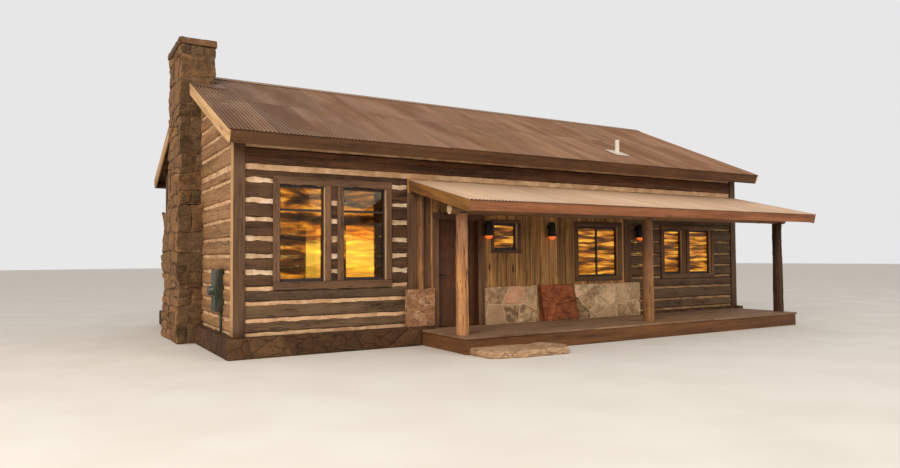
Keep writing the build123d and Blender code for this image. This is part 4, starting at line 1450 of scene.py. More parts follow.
def weathered(
    name: str, node: str, axis: Axis, finishes: str | Sequence[str], how: Weathering,
    pick: Callable[[Vector, Vector], int] = by_length,
) -> bpy.types.Object:
    """A copy of a CAD node with worn arrises and uneven faces, in its place.

    Args:
        name: The piece's name.
        node: The CAD node that it replaces.
        axis: The direction of its length, where it is cut.
        finishes: Its finish, or several of which each solid takes one.
        how: Its cuts and its unevenness.
        pick: Chooses a solid's finish by its lowest and highest corner.

    Returns:
        The piece.
    """
    work = merged(node)
    if how.chamfer:
        sharp = [e for e in work.edges if e.is_manifold and e.calc_face_angle(0.0) > SHARP_ANGLE]
        bmesh.ops.bevel(work, geom=sharp, offset=how.chamfer, segments=1, affect="EDGES", clamp_overlap=True)
    low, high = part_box(node)
    for along, step in ((axis.value, how.step), (Axis.Z.value, how.cross_step)):
        if not step:
            continue
        normal = Vector((0, 0, 0))
        normal[along] = 1
        for number in range(1, int((high[along] - low[along]) / step)):
            place = low.copy()
            place[along] += number * step
            geometry = work.verts[:] + work.edges[:] + work.faces[:]
            bmesh.ops.bisect_plane(work, geom=geometry, plane_co=place, plane_no=normal, dist=CUT_DISTANCE)
    numbers = island_numbers(work)
    solids = grouped(work, numbers)
    rng = random.Random(node)
    tones = {number: rng.uniform(-1, 1) for number in solids}
    for vertex in work.verts:
        seed = numbers[vertex.index] * 0.3
        vertex.co = sway(vertex.co, how.scale, how.wander, seed) - Vector((0, 0, how.drop))
    names = [finishes] if isinstance(finishes, str) else finishes
    picked = {number: pick(*box_of(points)) if len(names) > 1 else 0 for number, points in solids.items()}
    layer = work.faces.layers.float.new(TONE)
    for face in work.faces:
        number = numbers[face.verts[0].index]
        face[layer] = tones[number]
        face.material_index = picked[number]
    mesh = bpy.data.meshes.new(name)
    work.to_mesh(mesh)
    work.free()
    piece = finish_piece(mesh, name, names)
    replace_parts(piece, node)
    return piece


def dress(node: str, finish: str) -> None:
    """Gives a CAD node a finish."""
    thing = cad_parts[node]
    thing.data.materials.clear()
    thing.data.materials.append(materials[finish])


# Sub-assemblies

@dataclass(frozen=True)
class Joint:
    """How the mortar of one region is smeared over the logs: its lap, its sway and its finish."""

    lap: float
    sway: float
    finish: int


@dataclass
class LogWalls:
    """Hewn logs, corner posts and the mortar chinking between the logs."""

    how: Weathering = Weathering(step=0.2, chamfer=0.0, wander=0.012, scale=2.6)
    post_how: Weathering = Weathering(chamfer=0.008, wander=0.004)
    sill_height: float = 1.3
    front_depth: float = 1.0
    # Height under the wall's top within which a long log takes the painted eave shade.
    eave_log: float = 0.4
    whole_log: float = 10.0
    # Which outer post faces take the painted highlight: how far they look left, and how near the post's edge
    # they lie.
    highlight_facing: float = -0.8
    highlight_reach: float = 0.05
    long_joint: float = 6.0
    top_joint: float = 0.2
    eave_joint: float = 0.06
    joint_depth: float = 0.094
    front: Joint = Joint(0.014, 0.024, 0)
    low_front: Joint = Joint(0.004, 0.014, 2)
    strip: Joint = Joint(0.0, 0.008, 2)
    # The top joint under the eave takes the dark chinking, which is painted shade.
    eave: Joint = Joint(-0.006, 0.006, 3)
    gable: Joint = Joint(0.0, 0.014, 2)
    elsewhere: Joint = Joint(-0.004, 0.012, 1)
    ribbon_step: float = 0.05
    ribbon_proud: float = 0.004
    reveal: float = 0.028
    hollow: float = 0.006
    hollow_slant: float = 0.004
    hollow_sway: float = 0.004
    inner_hollow: float = 0.008

    def build(self) -> None:
        """Makes every log, post and ribbon of chinking."""
        fronts = ("logs_front", "logs_low", "logs_eave_painted_shade")
        weathered("logs_of_front", "front_logs", Axis.X, fronts, self.how, self.region_of)
        weathered("logs_of_back", "back_logs", Axis.X, "logs_front", self.how)
        weathered("logs_of_left_gable", "left_gable_logs", Axis.Y, "logs_gable", self.how)
        weathered("logs_of_right_gable", "right_gable_logs", Axis.Y, "logs_gable", self.how)
        sides = ("logs_post", "post_painted_highlight")
        posts = weathered("posts_of_corners", "corner_posts", Axis.Z, sides, self.post_how, self.plain_post)
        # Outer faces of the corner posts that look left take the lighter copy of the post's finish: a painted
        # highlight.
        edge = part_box("corner_posts")[0].x + self.highlight_reach
        for face in posts.data.polygons:
            outer = face.center.x < edge and face.center.y < self.front_depth
            if outer and face.normal.x < self.highlight_facing:
                face.material_index = sides.index("post_painted_highlight")
        self.chink()

    def region_of(self, low: Vector, high: Vector) -> int:
        """Which finish a front log takes: 0 by the windows, 1 low or under the porch, 2 the long top log
        under the eave, a darker copy that is painted shade.
        """
        if high.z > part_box("front_logs")[1].z - self.eave_log and high.x - low.x > self.whole_log:
            return 2
        return int(high.z < self.sill_height or low.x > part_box("entry_wall_left")[0].x)

    @staticmethod
    def plain_post(low: Vector, high: Vector) -> int:
        """The finish that every post starts with."""
        return 0

    def chink(self) -> None:
        """Makes the chinking: ribbons with wavy edges that lap over the logs' bevels."""
        draft = Draft()
        rng = random.Random("chinking")
        for low, high in islands("chinking"):
            size = high - low
            long_wall = size.x > size.y or abs(size.y - self.joint_depth) < 2 * NEAR
            along = Axis.X if long_wall else Axis.Y
            self.add_ribbon(draft, low, high, along, self.joint_of(low, high, along), rng.uniform(-1, 1))
        finishes = ("chinking_bright", "chinking_tan", "chinking_strip", "chinking_shade")
        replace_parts(draft.build("chinking_ribbons", *finishes), "chinking")

    def joint_of(self, low: Vector, high: Vector, along: Axis) -> Joint:
        """The way in which one joint of the walls is smeared."""
        if along is Axis.Y:
            return self.gable
        if high.y >= self.front_depth:
            return self.elsewhere
        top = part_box("front_logs")[1].z
        if high.z > top - self.top_joint:
            return self.eave if low.z > top - self.eave_joint else self.strip
        if high.x - low.x > self.long_joint:
            return self.strip
        if low.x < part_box("entry_wall_right")[1].x:
            return self.front if low.z > self.sill_height else self.low_front
        return self.elsewhere

    def add_ribbon(
        self, draft: Draft, low: Vector, high: Vector, along: Axis, joint: Joint, tone: float
    ) -> None:
        """Adds one ribbon of mortar, from log to log and to both faces of the wall."""
        depth = others(along)[0]
        length = high[along.value] - low[along.value]
        count = max(1, round(length / self.ribbon_step))
        d0, d1 = low[depth], high[depth]
        middle = (low.z + high.z) / 2
        rings = []
        for number in range(count + 1):
            place = low[along.value] + length * number / count
            laps = []
            for edge in range(4):
                seed = Vector((place * 4.2, edge * 9.1, low.z * 7 + d0))
                wave = noise.noise(seed) + 0.6 * noise.noise(seed * 2.9)
                laps.append(joint.lap + joint.sway * wave)
            bed = self.hollow + self.hollow_sway * noise.noise(Vector((place * 9, low.z * 5, d0)))
            out = [min(self.reveal, max(0.0, lap)) + self.ribbon_proud for lap in laps]
            ring = (
                (d0 - out[0], low.z - laps[0]),
                (d0 - bed, middle - 2 * self.hollow_slant),
                (d0 - bed - self.hollow_slant, middle + 2.5 * self.hollow_slant),
                (d0 - out[1], high.z + laps[1]),
                (d1 + out[2], high.z + laps[2]),
                (d1 + self.inner_hollow, middle),
                (d1 + out[3], low.z - laps[3]),
            )
            rings.append([spot_on(along, place, across, z) for across, z in ring])
        points = [point for ring in rings for point in ring]
        draft.add(points, tube_faces(len(rings), len(rings[0])), tone, joint.finish)


@dataclass
class Base:
    """Rubble footing round the house."""

    stones: Flagging = Flagging(0.42, 1.7, 0.014, 0.03)
    proud: float = 0.02
    end: float = 6.2
    long_side: float = 4.0

    def build(self) -> None:
        """Faces each footing with rubble and dresses the floor."""
        draft = Draft()
        rng = random.Random("footings")
        porch_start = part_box("porch_boards")[0].x
        out, outer = Vector((self.proud, 0, 0)), Vector((self.proud, self.proud, 0))
        for low, high in islands("long_footings"):
            if low.y < 0:
                self.stones.face(draft, low - outer, Vector((porch_start, high.y, high.z)), Side.FRONT, rng)
            else:
                self.stones.face(draft, low, high + outer, Side.BACK, rng)
        for low, high in islands("gable_footings") + islands("long_footings"):
            if max(high.x - low.x, high.y - low.y) > self.long_side:
                if low.x < -self.end:
                    self.stones.face(draft, low - out, high + out, Side.LEFT, rng)
                if high.x > self.end:
                    self.stones.face(draft, low - out, high + out, Side.RIGHT, rng)
        for low, high in islands("gable_footings"):
            if high.x < 0:
                self.stones.face(draft, low - out, high, Side.LEFT, rng)
        draft.build("footing_stones", "footing_rubble")
        dress("long_footings", "footing_mortar")
        dress("gable_footings", "footing_mortar")
        dress("floor", "floor_planks")
        dress("floor_sleepers", "sawn_along")


@dataclass
class Chimney:
    """Chimney of rough stones laid in uneven courses, with a slab cap."""

    box: Box = field(default_factory=lambda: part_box("chimney"))
    mortar_inset: float = 0.052
    course: Point2 = (0.22, 0.54)
    length: Point2 = (0.34, 0.80)
    split_over: float = 0.3
    split_chance: float = 0.5
    split_at: Point2 = (0.35, 0.65)
    joint: Point2 = (0.002, 0.016)
    depth: float = 0.20
    corner_sway: float = 0.1
    inset: float = 0.022
    cut: StoneCut = StoneCut(rounding=0.026, rough=0.024, cell=0.05)
    slab_cut: StoneCut = StoneCut(rounding=0.03, rough=0.011, cell=0.05)
    slab_inset: Scale3 = (0.024, 0.024, 0.006)
    base_core: Sawing = Sawing(chamfer=0.01, step=0.1, wave=0.006, side_points=9)
    stack_core: Sawing = Sawing(chamfer=0.005, step=0.1, wave=0.004, side_points=5)
    core_drop: float = 0.02
    warp: Scale3 = (0.035, 0.035, 0.1)
    warp_scales: Point2 = (1.6, 3.7)
    warp_ease: float = 0.5
    edge: float = 0.002
    # How far a stone face must look left to take the painted sunlight.
    sun_facing: float = -0.35

    def build(self) -> None:
        """Lays the stones of the base, the stack and the cap round a mortar core."""
        low, high = self.box
        shoulder, stack_low, stack_high = self.stack_box()
        draft = Draft()
        rng = random.Random("chimney")
        edge = Vector((self.inset, self.inset, 0))
        self.lay(draft, low + edge, Vector((high.x, high.y - self.inset, shoulder)), rng)
        self.lay(draft, stack_low + edge, stack_high - edge, rng)
        step = self.mortar_inset
        first = len(draft.points)
        core_high = Vector((high.x, high.y - step, shoulder - self.core_drop))
        add_bar(draft, low + Vector((step, step, 0)), core_high, Axis.Z, self.base_core, finish=MORTAR)
        self.core(draft, stack_low, stack_high)
        draft.move(first, self.warped)
        finishes = ("chimney_rubble", "chimney_mortar", "chimney_sunlit")
        piece = draft.build("chimney_stonework", *finishes)
        # Stone faces that look left take the lighter copy of the stone: painted sunlight.
        for face in piece.data.polygons:
            if face.material_index == 0 and face.normal.x < self.sun_facing:
                face.material_index = finishes.index("chimney_sunlit")
        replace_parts(piece, "chimney")
        self.cap(rng)

    def stack_box(self) -> tuple[float, Vector, Vector]:
        """Height of the shoulders, and the stack's lowest and highest corner."""
        low, high = self.box
        cap_low, cap_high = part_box("chimney_cap")
        over = Vector((cap_high.x - high.x, cap_high.x - high.x, 0))
        shoulder = max(round(p.z, 3) for p in corners_of("chimney") if abs(p.y - low.y) < NEAR)
        start, end = cap_low + over, cap_high - over
        return shoulder, Vector((start.x, start.y, shoulder)), Vector((end.x, end.y, high.z))

    def core(self, draft: Draft, low: Vector, high: Vector) -> None:
        """Mortar core of the stack, open at the flue."""
        step, wall = self.mortar_inset, self.depth
        a, b = low + Vector((step, step, 0)), high - Vector((step, step, self.core_drop / 2))
        for start, end in (
            (a, Vector((a.x + wall, b.y, b.z))),
            (Vector((b.x - wall, a.y, a.z)), b),
            (Vector((a.x + wall, a.y, a.z)), Vector((b.x - wall, a.y + wall, b.z))),
            (Vector((a.x + wall, b.y - wall, a.z)), Vector((b.x - wall, b.y, b.z))),
        ):
            add_bar(draft, start, end, Axis.Z, self.stack_core, finish=MORTAR)

    @staticmethod
    def spans(start: float, end: float, sizes: Point2, rng: random.Random) -> list[Point2]:
        """Start and end of each course or stone between two places."""
        places = [start]
        while places[-1] < end - sizes[1]:
            places.append(places[-1] + rng.uniform(*sizes))
        return steps([*places, end])

    def lay(self, draft: Draft, low: Vector, high: Vector, rng: random.Random) -> None:
        """Lays courses round a box, with corner stones that turn by turn lie each way."""
        for number, (z0, z1) in enumerate(self.spans(low.z, high.z, self.course, rng)):
            corner = self.depth + rng.uniform(0, self.corner_sway)
            along_y = number % 2 == 0
            back_x, back_y = (0, corner) if along_y else (corner, 0)
            deep_x, deep_y = (corner, self.depth) if along_y else (self.depth, corner)
            for side, sign in ((low.x, 1), (high.x, -1)):
                x0, x1 = sorted((side, side + sign * deep_x))
                for y0, y1 in self.spans(low.y + back_x, high.y - back_x, self.length, rng):
                    self.stone(draft, Vector((x0, y0, z0)), Vector((x1, y1, z1)), rng)
            for side, sign in ((low.y, 1), (high.y, -1)):
                y0, y1 = sorted((side, side + sign * deep_y))
                for x0, x1 in self.spans(low.x + back_y, high.x - back_y, self.length, rng):
                    self.stone(draft, Vector((x0, y0, z0)), Vector((x1, y1, z1)), rng)

    def stone(self, draft: Draft, low: Vector, high: Vector, rng: random.Random) -> None:
        """One stone, or two thin ones over each other, a little smaller than their place."""
        cuts = [low.z, high.z]
        if high.z - low.z > self.split_over and rng.random() < self.split_chance:
            cuts.insert(1, low.z + (high.z - low.z) * rng.uniform(*self.split_at))
        for z0, z1 in steps(cuts):
            start = Vector((low.x, low.y, z0)) + Vector([rng.uniform(*self.joint) for _ in range(3)])
            end = Vector((high.x, high.y, z1)) - Vector([rng.uniform(*self.joint) for _ in range(3)])
            first = len(draft.points)
            add_stone(draft, start, end, self.cut, rng.uniform(-1, 1))
            draft.move(first, self.warped)

    def warped(self, point: Vector) -> Vector:
        """Point moved with its whole neighbourhood, so that joints slant and faces bulge."""
        low, high = self.box
        broad, fine = self.warp_scales
        shift = noise.noise_vector(point * broad) + noise.noise_vector(point * fine) * 0.5
        moved = point + Vector([shift[i] * self.warp[i] for i in range(3)])
        inside = max(0.0, min(high.z - point.z, point.z - low.z) / self.warp_ease)
        moved.z = point.z + (moved.z - point.z) * min(1.0, inside)
        moved.x = max(low.x + self.edge, moved.x)
        moved.y = max(low.y + self.edge, min(high.y - self.edge, moved.y))
        return moved

    def cap(self, rng: random.Random) -> None:
        """Slabs round the mouth of the flue."""
        low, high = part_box("chimney_cap")
        xs = sorted({round(corner.x, 3) for corner in corners_of("chimney_cap")})
        ys = sorted({round(corner.y, 3) for corner in corners_of("chimney_cap")})
        inward = Vector(self.slab_inset)
        draft = Draft()
        for x0, x1, y0, y1 in (
            (low.x, high.x, low.y, ys[1]), (low.x, high.x, ys[-2], high.y),
            (low.x, xs[1], ys[1], ys[-2]), (xs[-2], high.x, ys[1], ys[-2]),
        ):
            start, end = Vector((x0, y0, low.z)) + inward, Vector((x1, y1, high.z)) - inward
            add_stone(draft, start, end, self.slab_cut, rng.uniform(-1, 1))
        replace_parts(draft.build("chimney_cap_slabs", "chimney_rubble"), "chimney_cap")


@dataclass
class Slope:
    """One flat slab of sheeting: where it lies, and the corner that the chimney takes."""

    low: Vector
    high: Vector
    eave: Vector
    up: Vector
    out: Vector
    thickness: float
    notch: Point2 | None

    @classmethod
    def of(cls, node: str) -> "Slope":
        """Reads a slope from its CAD slab."""
        low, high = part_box(node)
        points = corners_of(node)
        top = max(point.z for point in points)
        ridge_y = next(point.y for point in points if abs(point.z - top) < NEAR)
        forward = ridge_y > (low.y + high.y) / 2
        eave_y = low.y if forward else high.y
        eave = max((p for p in points if abs(p.y - eave_y) < SLAB_THICKNESS), key=lambda p: p.z)
        up = Vector((0, ridge_y - eave.y, top - eave.z))
        out = Vector((0, -up.z, up.y)).normalized() if forward else Vector((0, up.z, -up.y)).normalized()
        heights = [point.dot(out) for point in points]
        inner = sorted({round(p.x, 3) for p in points if low.x + SHEET_END < p.x < high.x - SHEET_END})
        notch = None
        if inner:
            ys = [round(p.y, 3) for p in points if abs(p.x - inner[0]) < 2 * NEAR]
            corner = min(ys) if forward else max(ys)
            notch = (inner[0], (corner - eave.y) / up.y)
        return cls(low, high, Vector((0, eave.y, eave.z)), up, out, max(heights) - min(heights), notch)

    def parts(self, x0: float, x1: float, first: float, last: float) -> list[tuple[float, ...]]:
        """Pieces of a sheet that the chimney's notch leaves, as (x0, x1, first, last)."""
        if self.notch is None or x0 >= self.notch[0] - NEAR:
            return [(x0, x1, first, last)]
        edge, share = self.notch
        kept = []
        if first < share:
            kept.append((x0, min(x1, edge), first, min(last, share)))
        if x1 > edge + NEAR:
            kept.append((edge, x1, first, last))
        return kept


@dataclass
class SheetRoof:
    """Corrugated sheets on the main roof and the porch roof."""

    main_depth: float = 0.015
    porch_depth: float = 0.02
    sides: int = 8
    sheet_pitches: int = 12
    spans: int = 4
    lap: float = 0.0016
    row_lift: float = 1.5
    thickness: float = 0.0016
    clearance: float = 0.003
    eave_sway: float = 0.012
    row_lap: float = 0.02
    flashing_reach: float = 0.42
    flashing_inset: float = 0.01
    flashing_past: float = 0.08
    flashing_half: float = 0.001

    def build(self) -> None:
        """Makes the sheets of each slope and dresses what carries them."""
        self.slope("sheets_of_front", "roof_sheet_front", "roof_rusty", MAIN_CORRUGATION, self.main_depth, 2)
        self.slope("sheets_of_back", "roof_sheet_back", "roof_rusty", MAIN_CORRUGATION, self.main_depth, 2)
        self.slope("sheets_of_porch", "porch_roof_sheet", "roof_pale", PORCH_CORRUGATION, self.porch_depth, 1)
        self.flashing()
        dress("ridge_cap", "ridge_metal")
        for node in ("roof_boards_front", "roof_boards_back", "porch_roof_boards"):
            dress(node, "sheathing")
        dress("roof_vent", "vent_paint")

    def flashing(self) -> None:
        """Flat sheet metal on the roof before the chimney's stack."""
        slope = Slope.of("roof_sheet_front")
        edge, share = slope.notch
        left, right = slope.low.x + self.flashing_inset, edge + self.flashing_past
        foot = slope.eave + slope.up * (share - self.flashing_reach / slope.up.length)
        head = slope.eave + slope.up * share
        points = [
            Vector((x, spot.y, spot.z)) + slope.out * lift
            for lift in (-self.flashing_half, self.flashing_half)
            for x, spot in ((left, foot), (right, foot), (right, head), (left, head))
        ]
        draft = Draft()
        draft.add(points, tube_faces(2, 4))
        draft.build("stack_flashing", "flashing_metal")

    def slope(self, name: str, node: str, finish: str, pitch: float, depth: float, rows: int) -> None:
        """Makes the sheets of one slope, side by side and lapped, within their CAD slab.

        Args:
            name: The piece's name.
            node: The slab that it replaces.
            finish: Its finish.
            pitch: Distance from crest to crest.
            depth: Height of a crest over a valley.
            rows: Rows of sheets up the slope.
        """
        slope = Slope.of(node)
        rng = random.Random(name)
        draft = Draft()
        edge = slope.low.x
        bed = self.clearance + depth / 2 - slope.thickness
        while edge < slope.high.x - SHEET_END:
            end = min(slope.high.x, edge + self.sheet_pitches * pitch)
            for row in range(rows):
                first = row / rows if row else rng.uniform(0, self.eave_sway) / slope.up.length
                last = (row + 1) / rows + (self.row_lap if row + 1 < rows else 0)
                lift = slope.out * (bed + self.lap * (rng.random() + self.row_lift * (row > 0)))
                tone = rng.uniform(-1, 1)
                for x0, x1, start, stop in slope.parts(edge, end, first, min(1.0, last)):
                    run = (slope.eave + slope.up * start + lift, slope.eave + slope.up * stop + lift)
                    self.sheet(draft, (x0, x1), run, slope.out * depth / 2, pitch, tone)
            edge = end
        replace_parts(draft.build(name, finish), node)

    def sheet(
        self, draft: Draft, span: Point2, run: Line, crest: Vector, pitch: float, tone: float
    ) -> None:
        """Adds one corrugated sheet as a closed thin shell.

        Args:
            draft: Where it goes.
            span: Its sides' x.
            run: Middle of its waves at its foot and at its top, for x 0.
            crest: From there to a crest.
            pitch: Distance from crest to crest.
            tone: Its tone.
        """
        x0, x1 = span
        base, tip = run
        columns = max(2, round((x1 - x0) / pitch * self.sides))
        rows = self.spans
        points = []
        for layer in (Vector((0, 0, 0)), -crest.normalized() * self.thickness):
            for row in range(rows + 1):
                spot = base.lerp(tip, row / rows)
                for column in range(columns + 1):
                    x = x0 + (x1 - x0) * column / columns
                    wave = crest * math.cos(2 * math.pi * x / pitch)
                    points.append(Vector((x, spot.y, spot.z)) + wave + layer)
        wide = columns + 1
        count = wide * (rows + 1)
        faces: list[Face] = []
        for row in range(rows):
            for column in range(columns):
                a = row * wide + column
                b = a + count
                faces += [(a, a + 1, a + wide + 1, a + wide), (b, b + wide, b + wide + 1, b + 1)]
        for a in range(columns):
            b = rows * wide + a
            faces += [(a, a + count, a + count + 1, a + 1), (b, b + 1, b + count + 1, b + count)]
        for a in range(0, rows * wide, wide):
            b = a + columns
            faces += [(a, a + wide, a + wide + count, a + count), (b, b + count, b + wide + count, b + wide)]
        draft.add(points, faces, tone)


@dataclass
class RoofTrim:
    """Fascias, barge boards and the timber under the roofs."""

    board: Weathering = Weathering(step=0.6, wander=0.003, scale=1.2, drop=0.003)

    def build(self) -> None:
        """Makes the boards and dresses the timbers."""
        weathered("fascia_boards", "eave_fascias", Axis.X, "fascia_dark", self.board)
        slopes = ("barge_front", "barge_back")
        weathered("barge_board_pairs", "barge_boards", Axis.Y, slopes, self.board, self.slope_of)
        weathered("porch_fascia_board", "porch_fascia", Axis.X, "fascia_cedar", self.board)
        weathered("porch_rake_boards", "porch_rakes", Axis.Y, "rake_golden", self.board)
        weathered("rafter_timbers", "rafters", Axis.Y, "sawn_across", self.board)
        weathered("porch_rafter_timbers", "porch_rafters", Axis.Y, "sawn_across", self.board)
        dress("ridge_beam", "sawn_along")
        dress("porch_ledger", "sawn_along")

    @staticmethod
    def slope_of(low: Vector, high: Vector) -> int:
        """0 for a board on the front slope, 1 for one on the back slope."""
        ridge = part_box("ridge_beam")
        return int(low.y + high.y > ridge[0].y + ridge[1].y)


@dataclass
class Porch:
    """Deck, peeled posts and beam."""

    board_width: float = 0.14
    board_gap: float = 0.006
    board_lengths: Point2 = (2.2, 4.2)
    board_end: float = 0.001
    board_drop: float = 0.002
    pier_clearance: float = 0.03
    board_how: Sawing = Sawing(chamfer=0.004, step=0.5, wave=0.002)
    rim_how: Weathering = Weathering(step=0.7, chamfer=0.004, wander=0.003, drop=0.003)
    sides: int = 28
    ring_step: float = 0.07
    post_taper: float = 0.9
    pole_taper: float = 0.96
    beam_taper: float = 0.97
    # Tone of each post: the second and third are made darker as painted shade.
    post_painted_shade_tones: tuple[float, ...] = (0.05, -0.75, -1.7)
    pole_tone: float = -0.7
    pole_seed: int = 7
    beam_seed: int = 11
    bow: float = 0.006
    flat: float = 0.07
    knot: float = 0.02
    knot_from: float = 0.2

    def build(self) -> None:
        """Makes the deck boards, rim, posts and beam."""
        self.deck()
        self.posts()
        self.beam()
        rims = ("rim_front", "rim_side")
        weathered("porch_rim_boards", "porch_rim", Axis.X, rims, self.rim_how)
        dress("porch_joists", "sawn_across")

    def deck(self) -> None:
        """Boards along the porch, in random lengths, past the pier's footing."""
        low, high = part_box("porch_boards")
        pier = islands("entry_stonework")[0]
        rng = random.Random("deck")
        count = round((high.y - low.y) / self.board_width)
        width = (high.y - low.y) / count
        draft = Draft()
        for number in range(count):
            y0, y1 = low.y + number * width, low.y + (number + 1) * width
            places = [low.x if y1 < pier[0].y + self.pier_clearance else pier[1].x]
            while places[-1] < high.x - self.board_lengths[1]:
                places.append(places[-1] + rng.uniform(*self.board_lengths))
            for start, end in steps([*places, high.x]):
                top = high.z - rng.uniform(0, self.board_drop)
                board_low = Vector((start + self.board_end, y0 + self.board_gap / 2, low.z))
                board_high = Vector((end - self.board_end, y1 - self.board_gap / 2, top))
                add_bar(draft, board_low, board_high, Axis.X, self.board_how, rng.uniform(-1, 1))
        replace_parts(draft.build("deck_board_rows", "deck_planks"), "porch_boards")

    def posts(self) -> None:
        """Peeled round posts, and the pole at the end of the entry wall."""
        draft = Draft()
        for number, box in enumerate(islands("porch_posts")):
            # Each post's tone darkens the second and third as painted shade.
            self.add_post(draft, box, self.post_taper, number, self.post_painted_shade_tones[number])
        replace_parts(draft.build("peeled_posts", "peeled_upright"), "porch_posts")
        draft = Draft()
        self.add_post(draft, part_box("entry_pole"), self.pole_taper, self.pole_seed, self.pole_tone)
        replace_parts(draft.build("peeled_wall_pole", "peeled_upright"), "entry_pole")

    def add_post(self, draft: Draft, box: Box, taper: float, seed: int, tone: float) -> None:
        """Adds an upright log that fills a box."""
        low, high = box
        foot = (high.x - low.x) / 2
        start, end = middle_of(low, high, low.z), middle_of(low, high, high.z)
        self.add_log(draft, (start, end), (foot, foot * taper), seed, tone)

    def beam(self) -> None:
        """Round beam over the posts."""
        low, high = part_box("porch_beam")
        radius = (high.y - low.y) / 2
        y, z = (low.y + high.y) / 2, low.z + radius
        draft = Draft()
        ends = (Vector((low.x, y, z)), Vector((high.x, y, z)))
        self.add_log(draft, ends, (radius, radius * self.beam_taper), self.beam_seed, 0.0)
        draft.finishes[-2:] = [1, 1]
        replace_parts(draft.build("peeled_beam", "peeled_lying", "sawn_end"), "porch_beam")

    def add_log(self, draft: Draft, ends: Line, radii: Point2, seed: int, tone: float) -> None:
        """Adds a peeled log: tapered, a little bowed, with knots and flats.

        Args:
            draft: Where it goes.
            ends: Middle of its foot and of its head.
            radii: Its radius there.
            seed: Number that its bow, flats and knots depend on.
            tone: Its tone.
        """
        start, end = ends
        foot, head = radii
        run = end - start
        rings = max(2, round(run.length / self.ring_step))
        turn = run.to_track_quat("Z", "Y").to_matrix()
        points = []
        for ring in range(rings + 1):
            share = ring / rings
            radius = foot + (head - foot) * share
            bend = [noise.noise(Vector((share * 2, seed, way))) for way in (0, 5)]
            bow = Vector((*bend, 0)) * self.bow
            for number in range(self.sides):
                angle = 2 * math.pi * number / self.sides
                spot = Vector((math.cos(angle), math.sin(angle), share * run.length))
                flat = noise.noise(Vector((spot.x * 1.4, spot.y * 1.4, spot.z * 1.1 + seed * 7)))
                knot = noise.noise(Vector((spot.x * 2.5, spot.y * 2.5, spot.z * 6 + seed * 3)))
                reach = radius * (1 - self.flat + self.flat * flat)
                reach += self.knot * max(0.0, knot - self.knot_from)
                point = Vector((reach * spot.x, reach * spot.y, 0)) + bow
                points.append(start + turn @ (point + Vector((0, 0, share * run.length))))
        draft.add(points, tube_faces(rings + 1, self.sides), tone)


